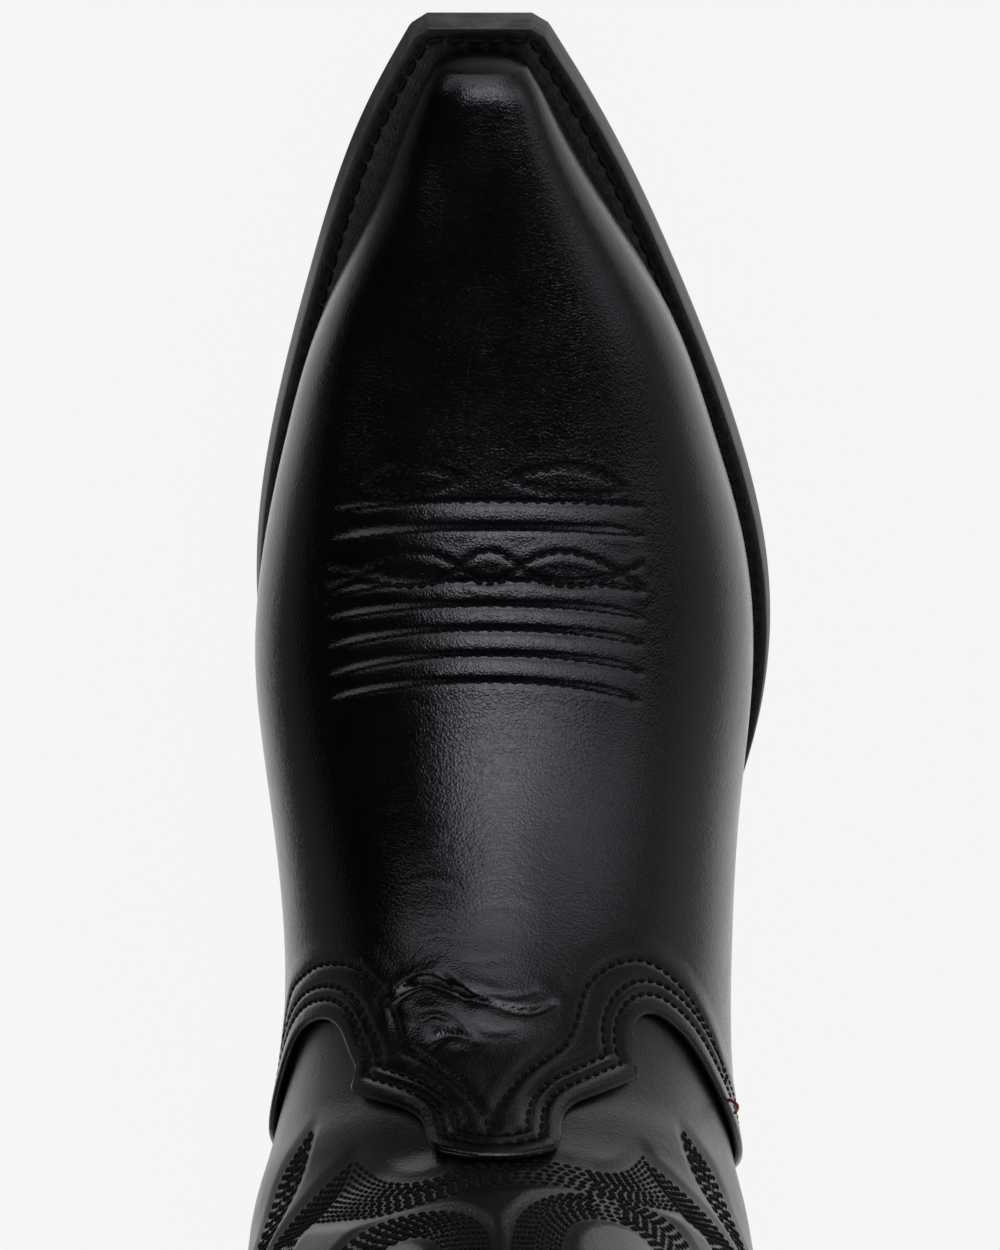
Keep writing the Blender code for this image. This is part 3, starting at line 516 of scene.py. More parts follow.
class Tree:
    """A short way to write the nodes of a new material or world."""

    def __init__(self, name, kind="materials", place="Object"):
        self.owner = getattr(bpy.data, kind).new(name)
        self.owner.use_nodes = True
        self.nodes, self.links = self.owner.node_tree.nodes, self.owner.node_tree.links
        self.place = self.node("TexCoord", place)

    def set(self, socket, value):
        if isinstance(value, bpy.types.NodeSocket):
            self.links.new(value, socket)
        else:
            socket.default_value = value

    def node(self, kind, out, props=(), **inputs):
        """Adds a node and gives its output. An input iN is the one numbered N."""
        node = self.nodes.new("ShaderNode" + kind)
        for key, value in dict(props).items():
            setattr(node, key, value)
        for key, value in inputs.items():
            key = key.replace("_", " ")
            self.set(node.inputs[int(key[1:]) if key[1:].isdigit() else key], value)
        return node.outputs[out]

    def noise(self, size, detail=2.0, rough=0.5, distortion=0.0, at=None):
        vector = at or self.place
        return self.node(
            "TexNoise", "Fac", Vector=vector, Scale=1 / (size * MM), Detail=detail, Roughness=rough,
            Distortion=distortion,
        )

    def cells(self, size, feature="DISTANCE_TO_EDGE", at=None, randomness=1.0):
        return self.node(
            "TexVoronoi", "Distance", {"feature": feature}, Vector=at or self.place, Scale=1 / (size * MM),
            Randomness=randomness,
        )

    def range(self, value, low, high, to_low=0, to_high=1, kind="LINEAR"):
        return self.node(
            "MapRange", "Result", {"interpolation_type": kind}, Value=value, From_Min=low, From_Max=high,
            To_Min=to_low, To_Max=to_high,
        )

    def step(self, value, low, high):
        """0 where value is under low and 1 over high, or the other way round where low is over high."""
        return self.range(value, low, high, kind="SMOOTHSTEP")

    def axis(self, name):
        return self.node("SeparateXYZ", name, i0=self.place)

    def math(self, operation, a, b=0.0):
        return self.node("Math", "Value", {"operation": operation}, i0=a, i1=b)

    def mix(self, share, a, b):
        return self.node("Mix", 2, {"data_type": "RGBA"}, i0=share, i6=a, i7=b)

    def stretched(self, x, y, z):
        return self.node("Mapping", "Vector", Vector=self.place, Scale=(x, y, z))

    def warped(self, size, amount):
        """The object's coordinates, pushed about by noise."""
        push = self.node("TexNoise", "Color", Vector=self.place, Scale=1 / (size * MM), Detail=1.0)
        centred = self.node("VectorMath", "Vector", {"operation": "SUBTRACT"}, i0=push, i1=(0.5, 0.5, 0.5))
        scaled = self.node(
            "VectorMath", "Vector", {"operation": "MULTIPLY"}, i0=centred, i1=(amount * MM,) * 3
        )
        return self.node("VectorMath", "Vector", {"operation": "ADD"}, i0=self.place, i1=scaled)

    def bump(self, height, distance, strength=1.0, normal=None):
        inputs = {"Height": height, "Distance": distance * MM, "Strength": strength}
        if normal is not None:
            inputs["Normal"] = normal
        return self.node("Bump", "Normal", **inputs)

    def finish(self, color, roughness, normal=None, **values):
        values.update(Base_Color=color, Roughness=roughness)
        if normal is not None:
            values["Normal"] = normal
        for key, value in values.items():
            self.set(self.nodes["Principled BSDF"].inputs[key.replace("_", " ")], value)
        return self.owner


def gray(value, warm=0.0):
    return (value * (1 + warm), value, value * (1 - warm), 1)


def make_leather(
    name, dark, light, roughness, grain=0.75, relief=0.02, wrinkle=0.05, crackle=None, **numbers
):
    """Smooth full-grain leather: pebbled grain, pores, faint drawn wrinkles and uneven polish."""
    tree = Tree(name)
    skin = tree.warped(2.5, 0.9)
    pebbles = tree.range(tree.cells(grain, at=skin), 0, 0.3, 0, 1)
    pores = tree.noise(grain * 0.4, 3, 0.6)
    drawn = tree.noise(2.6, 4, 0.55, 0.6, at=tree.stretched(1, 1.5, 1.5))
    normal = tree.bump(drawn, wrinkle)
    normal = tree.bump(pebbles, relief, 0.8, normal)
    normal = tree.bump(pores, relief, 0.7, normal)
    if crackle:
        # Fine creases where the leather bends, round a point and fading out at a radius
        centre, radius, depth = crackle
        away = tree.node(
            "VectorMath", "Value", {"operation": "DISTANCE"}, i0=tree.place, i1=tuple(v * MM for v in centre)
        )
        flexed = tree.range(away, radius * 0.3 * MM, radius * MM, 1, 0)
        lines = tree.range(tree.cells(3.4, at=tree.warped(4.0, 3.4)), 0, 0.13, 1, 0)
        fine = tree.range(tree.cells(1.7, at=tree.warped(2.0, 1.6)), 0, 0.16, 1, 0)
        both = tree.math("ADD", lines, tree.math("MULTIPLY", fine, 0.5))
        patchy = tree.range(tree.noise(9, 2), 0.42, 0.62, 0, 1)
        amount = tree.math("MULTIPLY", tree.math("MULTIPLY", both, patchy), flexed)
        normal = tree.bump(amount, -depth, 1.0, normal)
    cloud = tree.range(tree.noise(22, 3, 0.55), 0.35, 0.7, 0, 1)
    color = tree.mix(cloud, dark, light)
    polish = tree.range(tree.noise(9, 4, 0.6), 0.3, 0.7, roughness - 0.03, roughness + 0.04)
    return tree.finish(color, polish, normal, **numbers)


def make_thread(name, dark, light, roughness):
    tree = Tree(name)
    strands = tree.noise(0.25, 2, 0.6)
    color = tree.mix(tree.range(tree.noise(4, 2), 0.3, 0.7, 0, 1), dark, light)
    return tree.finish(color, roughness, tree.bump(strands, 0.05), Specular_IOR_Level=0.2)


def make_edge(name, dark, light, roughness):
    """Dressed sole leather: fine layers along its thickness, scuffs and worn patches."""
    tree = Tree(name)
    layers = tree.noise(1.6, 3, 0.6, at=tree.stretched(0.12, 0.12, 3.2))
    scuffs = tree.range(tree.noise(6, 5, 0.65, 0.4), 0.4, 0.66, 0, 1)
    fine = tree.noise(0.5, 3, 0.6)
    color = tree.mix(scuffs, dark, light)
    normal = tree.bump(fine, 0.06, 0.7, tree.bump(layers, 0.09))
    return tree.finish(color, tree.range(scuffs, 0, 1, roughness, roughness + 0.14), normal)


def make_fleck(name, dark, light, roughness, size, relief, **numbers):
    """Board, cork or rubber: two tones in grains of a size."""
    tree = Tree(name)
    grains = tree.range(tree.cells(size, "F1"), 0.1, 0.8, 0, 1)
    color = tree.mix(tree.math("MULTIPLY", grains, tree.noise(size * 2, 3)), dark, light)
    return tree.finish(color, roughness, tree.bump(grains, relief), **numbers)


def make_metal(name, color, roughness):
    tree = Tree(name)
    brushed = tree.noise(1.2, 3, 0.6, at=tree.stretched(8, 1, 1))
    shade = tree.range(brushed, 0.3, 0.7, roughness - 0.08, roughness + 0.1)
    return tree.finish(color, shade, tree.bump(brushed, 0.02), Metallic=1.0)


VAMP_LEATHER = make_leather(
    "vamp_leather", gray(0.001, -0.05), gray(0.0022, -0.05), 0.2, 0.78, 0.027, crackle=((6, -8, 108), 40, 0.026)
)
SHAFT_LEATHER = make_leather("shaft_leather", gray(0.003, -0.05), gray(0.007, -0.04), 0.31, 0.9, 0.027, IOR=1.62)
TRIM_LEATHER = make_leather("trim_leather", gray(0.002), gray(0.004), 0.38, 0.6, 0.025)
LINING_LEATHER = make_leather(
    "lining_leather", (0.30, 0.19, 0.105, 1), (0.41, 0.28, 0.17, 1), 0.62, 0.9, 0.05, 0.09
)
INSOLE_LEATHER = make_leather("insole_leather", (0.36, 0.24, 0.14, 1), (0.5, 0.36, 0.23, 1), 0.7, 1.1)
WELT_LEATHER = make_leather("welt_leather", gray(0.001), gray(0.004), 0.5, 0.9, 0.05, 0.2)
SOLE_LEATHER = make_edge("sole_leather", gray(0.055, 0.06), gray(0.13, 0.1), 0.5)
SOLE_BOTTOM = make_edge("sole_bottom_leather", (0.16, 0.095, 0.05, 1), (0.34, 0.22, 0.125, 1), 0.5)
HEEL_LEATHER = make_edge("heel_leather", gray(0.006, 0.05), gray(0.02, 0.1), 0.4)
STIFF_BOARD = make_fleck("stiffener_board", (0.3, 0.25, 0.18, 1), (0.5, 0.42, 0.31, 1), 0.8, 1.2, 0.1)
CORK = make_fleck("cork", (0.2, 0.12, 0.06, 1), (0.5, 0.34, 0.2, 1), 0.9, 2.0, 0.2)
RUBBER = make_fleck("heel_rubber", gray(0.008), gray(0.03), 0.7, 0.7, 0.06)
STEEL = make_metal("steel", (0.5, 0.49, 0.47, 1), 0.35)
THREAD = make_thread("stitch_thread", gray(0.0012, -0.1), gray(0.004, -0.1), 0.75)
THREAD_END = make_thread("thread_end", (0.12, 0.02, 0.008, 1), (0.3, 0.07, 0.03, 1), 0.6)


# ---------------------------------------------------------------- vamp

TIP_END = 0.244
EDGE_INSETS, T_STEP = (3.0, 5.6), 0.004
VAMP_COLUMNS, EVEN_ROWS_END = 321, 150
EDGE = {
    MEDIAL: [
        [(213.5, 0), (213.3, 0.02), (212, 0.045), (209.8, 0.073), (206.5, 0.084), (202.5, 0.095), (199.5, 0.116)]
        + [(196.6, 0.156), (194, 0.205), (191.8, TIP_END)],
        [(191.8, TIP_END), (188.5, 0.239), (184.5, 0.258), (179, 0.292), (176, 0.336), (175.4, 0.38)]
        + [(176.4, 0.445), (179, 0.5), (184, 0.57), (188, 0.66), (189, 0.8), (184, 1)],
    ],
    LATERAL: [
        [(213.5, 0), (213.3, 0.02), (212.3, 0.04), (210, 0.07), (206.5, 0.081), (201.5, 0.09), (198, 0.108)]
        + [(195, 0.145), (191.8, 0.195), (188.9, TIP_END)],
        [(188.9, TIP_END), (184, 0.231), (180, 0.236), (176.6, 0.257), (175.2, 0.296), (176.4, 0.34)]
        + [(179.5, 0.4), (183.5, 0.46), (188, 0.54), (191, 0.64), (191, 0.8), (184, 1)],
    ],
}


def vamp_edge_line(side, count):
    """s and t along the vamp's free edge, from the front line to the sole, evenly spaced."""
    pieces = [smooth_line(piece, 400) for piece in EDGE[side]]
    s, t = np.concatenate(pieces, axis=1)
    run = run_length(np.stack([s, t * 120], -1))
    at = np.linspace(0, run[-1], count)
    return np.interp(at, run, s), np.interp(at, run, t)


def smoothstep(x):
    x = np.clip(x, 0, 1)
    return x * x * (3 - 2 * x)


# Corded rows across the vamp: s at the middle and at both ends, and t of the ends
CORDED = [
    (79.0, 82.0, 81.0, 0.342, -0.312),
    (84.2, 87.6, 86.5, 0.335, -0.306),
    (94.0, 98.0, 97.0, 0.337, -0.298),
    (98.6, 102.6, 102.0, 0.332, -0.297),
    (103.2, 108.0, 107.0, 0.33, -0.297),
    (108.0, 113.3, 112.3, 0.326, -0.299),
    (113.0, 117.6, 117.6, 0.316, -0.292),
]


def across(row):
    middle, left, right, t_left, t_right = row
    t = np.linspace(t_right, t_left, 200)
    share = np.where(t > 0, t / t_left, t / t_right)
    return middle + (np.where(t > 0, left, right) - middle) * share**2, t


corded = Rows()
for row in CORDED:
    corded.add(*across(row))

chain = Rows()
for sign in (1, -1):
    t = np.array([0.345, 0.262, 0.153, 0.044, -0.002, -0.048, -0.148, -0.248, -0.3])
    lift = np.array([0.6, 0, -1, 0, 1, 0, -1, 0, 0.75]) * sign * 3.0
    base = 91.4 + 3.4 * (t / 0.33) ** 2
    chain.through(list(zip(base + lift, t)))

leaves = Rows()
for inner in (0, 1):
    grow = 1 - 0.3 * inner
    for side in (1, -1):
        for arc in (1, -1):
            share = np.linspace(0, 1, 24)
            t = side * (0.03 + 0.014 * inner + (0.247 - 0.03 * inner) * share)
            s = 74.7 + 2.6 * share**2 + arc * 3.1 * grow * np.sin(np.pi * share) ** 0.85
            leaves.through(list(zip(s, t)))

spear = Rows()
for side in (1, -1):
    knots = [(68.5, 0.024), (64, 0.029), (58, 0.026), (52.5, 0.018), (45, 0.002)]
    spear.through([(s, 0.004 + side * t) for s, t in knots])

# The rows along the vamp's edge keep their distance from it, so that they round its corners as it does.
edge_rows = Rows()
for side in (MEDIAL, LATERAL):
    s, t = vamp_edge_line(side, 900)
    edge = surface(s, side * t)
    step_s, step_t = np.gradient(s), np.gradient(t)
    ahead = surface(s + 0.5, side * t) - surface(s - 0.5, side * t)
    over = surface(s, side * (t + T_STEP)) - surface(s, side * (t - T_STEP))
    g11, g22 = (ahead**2).sum(-1), (over**2).sum(-1) / (2 * T_STEP) ** 2
    g12 = (ahead * over).sum(-1) / (2 * T_STEP)
    # The direction square to the edge, away from its free side, in (s, t)
    cross_s = -(g12 * step_s + g22 * step_t)
    cross_t = g11 * step_s + g12 * step_t
    length = np.sqrt(g11 * cross_s**2 + 2 * g12 * cross_s * cross_t + g22 * cross_t**2)
    length = np.maximum(length, 1e-9)
    for inset in EDGE_INSETS:
        row_s, row_t = s + inset * cross_s / length, t + inset * cross_t / length
        clear = distance_to(surface(row_s, side * row_t), edge) > inset * 0.97
        keep = clear & (row_t > 0.006)
        edge_rows.add(row_s[keep], side * row_t[keep])

outer_row = Rows()
outer_row.through(
    [(180, 0.585), (175.4, 0.552), (171, 0.516), (168, 0.444), (166.5, 0.376), (166.5, 0.32)]
    + [(167.6, 0.264), (171, 0.216), (175.2, 0.182), (181, 0.164), (185, 0.148), (187.3, 0.115), (190.5, 0.08)]
    + [(195, 0.046), (199.5, 0.022), (204, 0.008), (208, 0.004)]
)
outer_row.through(
    [(208, 0.001), (202.5, -0.001), (196.5, -0.018), (191, -0.048), (186.5, -0.09), (182, -0.125)]
    + [(176.5, -0.142), (172, -0.157), (168.5, -0.188), (166.5, -0.228), (166, -0.268), (167.5, -0.32)]
    + [(171, -0.38), (175.5, -0.44), (180.5, -0.5), (184.2, -0.535)]
)

# Creases where the boot bends: depth, width, and the line that each follows
CREASES = [
    (1.2, 0.85, [(174.5, 0.172), (172.2, 0.145), (171.3, 0.118), (172, 0.088), (174, 0.052), (175.4, 0.018)]),
    (0.8, 0.7, [(174.6, 0.034), (176.2, 0.0), (177.6, -0.035), (177.4, -0.066), (176, -0.09)]),
    (0.45, 0.6, [(169.8, 0.082), (172.4, 0.058), (174.9, 0.044), (177.8, 0.034)]),
    (0.4, 0.6, [(172.6, 0.036), (174, 0.004), (174.4, -0.03), (173.4, -0.062)]),
    (0.42, 0.7, [(184.4, 0.1), (182.6, 0.078), (182.4, 0.056), (183.8, 0.026)]),
    (0.3, 0.6, [(180.2, 0.125), (178.6, 0.1), (179.4, 0.07), (180.8, 0.052)]),
    (0.25, 0.6, [(180.4, 0.03), (181.8, 0.004), (181.4, -0.03)]),
    (0.08, 0.7, [(163, 0.13), (161.6, 0.09), (162.4, 0.05)]),
    (0.09, 0.7, [(166.8, 0.06), (167.4, 0.02), (166.4, -0.03)]),
    (0.06, 0.8, [(157, 0.03), (156, -0.01), (157, -0.06)]),
    (0.06, 0.8, [(151.5, 0.14), (150.5, 0.1), (152, 0.05)]),
    (0.14, 0.8, [(186.8, 0.08), (186.2, 0.05), (187.4, 0.01)]),
]


def crease_height(points):
    """Height added by the creases: a narrow valley, and a soft lip on each side of it."""
    height = np.zeros(points.shape[:-1])
    for depth, width, knots in CREASES:
        line = Rows().through(knots)
        away = distance_to(points, line.samples(0.3))
        ends = np.array([surface(*knots[0]), surface(*knots[-1])])
        from_end = np.linalg.norm(points[..., None, :] - ends, axis=-1).min(-1)
        fade = 0.35 + 0.65 * smoothstep(from_end / 4)
        lip = 0.32 * depth * smoothstep(away / 1.2) * bump(away - 1.6, 2.0)
        height += fade * (lip - depth * bump(away, width))
    return height


def soft_creases(s, t):
    """Height of the broad swelling and hollows round the creases."""
    swell = 0.9 * bump(s - 177.5 - 30 * (0.1 - t), 3.4) * bump(t - 0.105, 0.075)
    hollow = -0.7 * bump(s - 184.5, 4) * bump(t - 0.03, 0.09)
    above = 0.55 * bump(s - 167.5, 5) * bump(t - 0.06, 0.09)
    return swell + hollow + above + 0.4 * bump(s - 152, 12) * bump(t + 0.03, 0.09)


def make_vamp():
    toe = TIP_LENGTH * (1 - (1 - np.linspace(0, 1, 16) ** TIP_SQUARENESS) ** (1 / TIP_SQUARENESS))
    spans = (5, 66, 1.3), (66, 122, 0.52), (122, EVEN_ROWS_END, 1.1)
    rows = np.concatenate([toe[:-1], *(np.arange(*span) for span in spans)])
    medial, lateral = (np.array(vamp_edge_line(side, VAMP_COLUMNS // 2 + 1)) for side in (MEDIAL, LATERAL))
    edge_s, edge_t = np.concatenate([lateral[:, ::-1] * [[1], [-1]], medial[:, 1:]], axis=1)
    rise = np.linspace(0, 1, 100)[:, None]
    s = np.concatenate([np.tile(rows[:, None], VAMP_COLUMNS), EVEN_ROWS_END + (edge_s - EVEN_ROWS_END) * rise])
    even = np.linspace(-1, 1, VAMP_COLUMNS)
    t = even + (edge_t - even) * smoothstep((s - 120) / (edge_s - 120))
    points = surface(s, t)
    cords = distance_to(points, corded.samples())
    lines = [np.interp(t, across(row)[1], across(row)[0]) for row in CORDED]
    zone = smoothstep((s - lines[0]) / 0.6) * smoothstep((lines[-1] - s) / 0.6)
    zone = zone * smoothstep((0.34 - t) / 0.09) * smoothstep((t + 0.31) / 0.09)
    # Each roll rises from the thread on its toe side and falls away to the next row.
    roll = np.zeros_like(s)
    for before, after in zip(lines[:-1], lines[1:]):
        part = (s - before) / (after - before)
        rising, falling = np.clip(part / 0.66, 0, 1), np.clip((part - 0.66) / 0.34, 0, 1)
        stands = 1 - (1 - rising) ** 1.6 - 0.8 * falling**1.6
        roll += np.where((part >= 0) & (part < 1), stands, 0) * np.where(after - before > 6, 0.6, 1)
    roll *= smoothstep(cords / 0.6)
    height = zone * (0.36 + 0.1 * smoothstep((lines[2] - s) / 4)) * roll - 0.2 * bump(cords, 0.5)
    height -= 0.07 * bump(distance_to(points, spear.samples()), 0.5)
    # Beside the other rows the leather swells by lift as far as reach, and each row sinks into it.
    seams = Rows()
    seams.lines = edge_rows.lines + outer_row.lines
    for rows, lift, reach, fade, ramp, sink, width in (
        (chain, 0.08, 3.5, 2, 1.5, 0.12, 0.5),
        (leaves, 0.02, 2.5, 2, 1.2, 0.09, 0.5),
        (seams, 0.2, 6, 4, 1.6, 0.3, 0.7),
    ):
        away = distance_to(points, rows.samples())
        swell = lift * smoothstep((reach - away) / fade) * np.clip(away / ramp, 0, 1)
        height += swell - sink * bump(away, width)
    height += soft_creases(s, t) + crease_height(points) * smoothstep((s - 140) / 6)
    height = height * smoothstep(s / 6)
    leather_sheet("vamp_upper", s, t, -height, 1.7, VAMP_LEATHER, "vamp", pole=True)


make_vamp()
row_depth = lambda s, t: 0.12 - soft_creases(s, t)
corded.stitch("vamp_cord_stitching", 0.3, 2.3, 0.78, 0.42, 2)
chain.stitch("vamp_chain_stitching", -0.2, 2.2, 0.7, 0.36, 3)
leaves.stitch("vamp_leaf_stitching", 0.14, 2.1, 0.62, 0.3, 4)
spear.stitch("vamp_toe_stitching", 0.15, 2.1, 0.55, 0.22, 5)
edge_rows.stitch("vamp_edge_stitching", row_depth, 2.35, 0.78, 0.38, 6)
outer_row.stitch("vamp_outer_stitching", row_depth, 2.35, 0.78, 0.38, 7)


# ---------------------------------------------------------------- shaft

ROW_SPACE = 0.7


def ribbon(rows, near, far, count=11, mirror=False):
    """Parallel rows between two edges given by (s, t) knots. Some stop where the ribbon is too narrow for all."""
    low, high = np.array(smooth_line(near)), np.array(smooth_line(far))
    space = np.hypot(high[0] - low[0], (high[1] - low[1]) * T_SCALE) / (count - 1)
    every = 2 ** np.ceil(np.log2(np.clip(ROW_SPACE / np.maximum(space, 0.01), 1, 64))).astype(int)
    for number, share in enumerate(np.linspace(0, 1, count)):
        s, t = low + (high - low) * share
        kept = np.flatnonzero(number % every == 0)
        for run in np.split(kept, np.flatnonzero(np.diff(kept) > 1) + 1):
            if len(run) >= 4:
                for sign in (1, -1) if mirror else (1,):
                    rows.add(s[run], sign * t[run])


flames = Rows()
# The central sweep between the two tips
ribbon(
    flames,
    [(205.6, -0.236), (208.5, -0.21), (212.5, -0.165), (214, -0.124), (213.4, -0.088), (212.6, -0.052)]
    + [(212.5, -0.012), (213.6, 0.02), (216.5, 0.055), (217.8, 0.088), (216.6, 0.12), (212.5, 0.168), (207, 0.224)],
    [(217, -0.245), (218.5, -0.212), (220.5, -0.165), (221.2, -0.12), (219.8, -0.08), (219.2, -0.045)]
    + [(219.6, -0.012), (221.4, 0.02), (224, 0.055), (225.8, 0.09), (226.3, 0.128), (224.5, 0.165), (220, 0.232)],
)
LEG_NEAR = [(207, 0.226), (209, 0.256), (211.5, 0.29), (215, 0.325), (222, 0.357), (235, 0.385), (255, 0.4)]
LEG_NEAR += [(280, 0.398), (305, 0.375), (325, 0.33), (340, 0.27), (350, 0.19), (356, 0.1), (358, 0.0)]
LEG_FAR = [(219, 0.234), (221, 0.252), (225, 0.274), (231, 0.297), (240, 0.318), (253, 0.333), (268, 0.338)]
LEG_FAR += [(285, 0.334), (303, 0.315), (317, 0.28), (329, 0.23), (338, 0.165), (344, 0.09), (346, 0.0)]
ribbon(flames, LEG_NEAR, LEG_FAR, mirror=True)
# The side leaves
LEAF_NEAR = [(196.5, 0.352), (199.5, 0.385), (202.5, 0.42), (208, 0.447), (220, 0.462), (240, 0.468), (262, 0.472)]
LEAF_FAR = [(196.8, 0.349), (203, 0.35), (209, 0.368), (217, 0.39), (230, 0.415), (246, 0.43), (262, 0.435)]
ribbon(flames, LEAF_NEAR, LEAF_FAR, 9, mirror=True)
# The inner scrolls
ribbon(
    flames,
    [(262, 0.004), (246, 0.008), (236, 0.014), (231.5, 0.03), (229.3, 0.06), (229.2, 0.1), (230.5, 0.145)]
    + [(235, 0.19), (245, 0.23), (262, 0.255), (282, 0.255), (300, 0.225), (315, 0.16), (322, 0.08), (324, 0)],
    [(262, 0.05), (250, 0.052), (243, 0.056), (239, 0.066), (237, 0.084), (237.3, 0.105), (239, 0.13)]
    + [(243.5, 0.157), (252, 0.18), (265, 0.195), (281, 0.193), (294, 0.17), (304, 0.125), (310, 0.065), (312, 0)],
)
ribbon(
    flames,
    [(262, -0.004), (240, -0.012), (228, -0.03), (223, -0.06), (221.6, -0.1), (221.6, -0.145), (223, -0.19)]
    + [(229, -0.225), (242, -0.247), (262, -0.256), (282, -0.255), (300, -0.225), (315, -0.16), (322, -0.08), (324, 0)],
    [(262, -0.05), (245, -0.054), (235, -0.064), (230.6, -0.08), (228.8, -0.1), (228.6, -0.13), (231, -0.155)]
    + [(237, -0.175), (249, -0.19), (265, -0.196), (281, -0.193), (294, -0.17), (304, -0.125), (310, -0.065), (312, 0)],
)
back_flames = Rows()
BACK_NEAR = [(268, 0), (270, 0.035), (271.5, 0.07), (269.5, 0.105), (263, 0.15)]
BACK_FAR = [(278, 0), (279.6, 0.035), (280.4, 0.07), (279, 0.11), (274, 0.158)]
BACK_LEG_NEAR = [(263, 0.152), (262.5, 0.18), (261, 0.215), (262, 0.26), (268, 0.31), (282, 0.355), (300, 0.37)]
BACK_LEG_NEAR += [(320, 0.35), (336, 0.29), (348, 0.2), (355, 0.1), (357, 0)]
BACK_LEG_FAR = [(274, 0.16), (272, 0.185), (271, 0.21), (273, 0.24), (279, 0.275), (289, 0.3), (301, 0.308)]
BACK_LEG_FAR += [(315, 0.29), (326, 0.24), (336, 0.165), (343, 0.085), (345, 0)]
BACK_DROP_NEAR = [(288, 0), (288.5, 0.05), (290, 0.12), (295, 0.18), (303, 0.205), (313, 0.18), (321, 0.1)]
BACK_DROP_NEAR += [(324, 0)]
BACK_DROP_FAR = [(298, 0), (298.2, 0.04), (299, 0.085), (301, 0.12), (304.5, 0.135), (308, 0.115), (312, 0.06)]
BACK_DROP_FAR += [(313, 0)]
for near, far in ((BACK_NEAR, BACK_FAR), (BACK_LEG_NEAR, BACK_LEG_FAR), (BACK_DROP_NEAR, BACK_DROP_FAR)):
    for side in (1, -1):
        ribbon(back_flames, *([(s, 1 + side * b) for s, b in knots] for knots in (near, far)))

# Limits of each fold's place, centre, length, slope, amount and width, at the foot of the shaft and above
FOLD_LIMITS = [
    [(205, 262), (-1, 1), (0.1, 0.3), (-30, 30), (-0.55, 0.55), (4, 9)],
    [(262, 365), (-1, 1), (0.12, 0.35), (-40, 40), (-0.5, 0.5), (8, 18)],
]
random = np.random.default_rng(19)
SHAFT_FOLDS = [[random.uniform(*pair) for pair in limits] for limits in FOLD_LIMITS for _ in range(26)]


def shaft_folds(s, t):
    """Height of the soft slouch in the shaft. It dies out at the top line and under the vamp."""
    height = np.zeros(np.broadcast(s, t).shape)
    for place, centre, length, slope, amount, width in SHAFT_FOLDS:
        away = (t - centre + 1) % 2 - 1
        height += amount * bump(s - place - slope * away, width) * bump(away, length)
    soft = np.clip(height, -1.2, 0.9) * smoothstep((s - 196) / 14) * smoothstep((378 - s) / 20)
    return soft - 0.8 * bump(s - 217, 9) * bump(t - 0.2, 0.14)


def shaft_height(s, t, rows):
    """Folds, and the quilting of the stitched ribbons."""
    points = surface(s, t, SHAFT_DEPTH)
    away = distance_to(points + SHAFT_DEPTH * normal_at(s, t), rows.samples())
    quilt = 0.5 * smoothstep((away - 0.6) / 3.2) - 0.12 * bump(away, 0.5)
    return shaft_folds(s, t) + quilt * smoothstep((s - 192) / 8)


def back_reach(s):
    """From the back line to a side seam, in t."""
    return 1 - np.minimum(side_seam(s) + SEAM_SPACE, 1)


def make_shaft_panel(label, centre, around, start, rows, reach, stitches):
    """A panel round t = centre, from start up to the top line; it reaches to reach(s) on either side."""
    s = start + (top_line(centre + around * 0.5) - start) * np.linspace(0, 1, rows)[:, None]
    t = centre + around * reach(s)
    depth = SHAFT_DEPTH - shaft_height(s, t, stitches)
    leather_sheet(f"shaft_{label}_panel", s, t, depth, 1.1, SHAFT_LEATHER, f"shaft_{label}")


around = np.linspace(-1, 1, 297)
start = np.where(around > 0, front_panel_start[MEDIAL](around), front_panel_start[LATERAL](-around))
make_shaft_panel("front", 0, around, start, 305, lambda s: side_seam(s) - SEAM_SPACE, flames)
around = np.linspace(-1, 1, 281)
start = np.maximum(counter_top(np.abs(around)) - 13, 188.5)
make_shaft_panel("back", 1, around, start, 300, back_reach, back_flames)

shaft_row_depth = lambda s, t: SHAFT_DEPTH - shaft_folds(s, wrapped(t)) + 0.02
for label, side, seed in (("medial", 1, 8), ("lateral", -1, 11)):
    half = Rows()
    half.lines = [line for line in flames.lines if np.mean(line[1]) * side > 0]
    half.stitch(f"shaft_front_stitching_{label}", shaft_row_depth, 2.1, 0.8, 0.3, seed)
back_flames.stitch("shaft_back_stitching", shaft_row_depth, 2.2, 0.8, 0.3, 9)


# ---------------------------------------------------------------- counter, side seams and top


def make_counter():
    around = np.linspace(-1, 1, 241)
    bottom = s_at_feather(HEEL_MIDDLE - np.abs(around) * (HEEL_MIDDLE - COUNTER_START))
    top = counter_top(np.abs(around))
    climb = np.linspace(0, 1, 110)[:, None]
    s = bottom + (top - bottom) * climb
    low = np.sign(around) * 0.012
    t = 1 + np.where(around == 0, 0, low + (around * back_reach(top) - low) * climb)
    rows = Rows()
    line = np.linspace(-1, 1, 400)
    for inset in (3.0, 5.6, 12.5):
        row_s = counter_top(np.abs(line)) - inset * 1.15
        rows.add(row_s, 1 + line * back_reach(row_s) * 0.975)
    away = distance_to(surface(s, t), rows.samples())
    height = (0.25 * np.clip(away / 2, 0, 1) - 0.25 * bump(away, 0.7)) * smoothstep((s - 150) / 10)
    leather_sheet("counter_upper", s, t, -height, 1.7, VAMP_LEATHER, "counter_cover")
    rows.stitch("counter_stitching", 0.12, 2.35, 0.78, 0.38, 10)


make_counter()

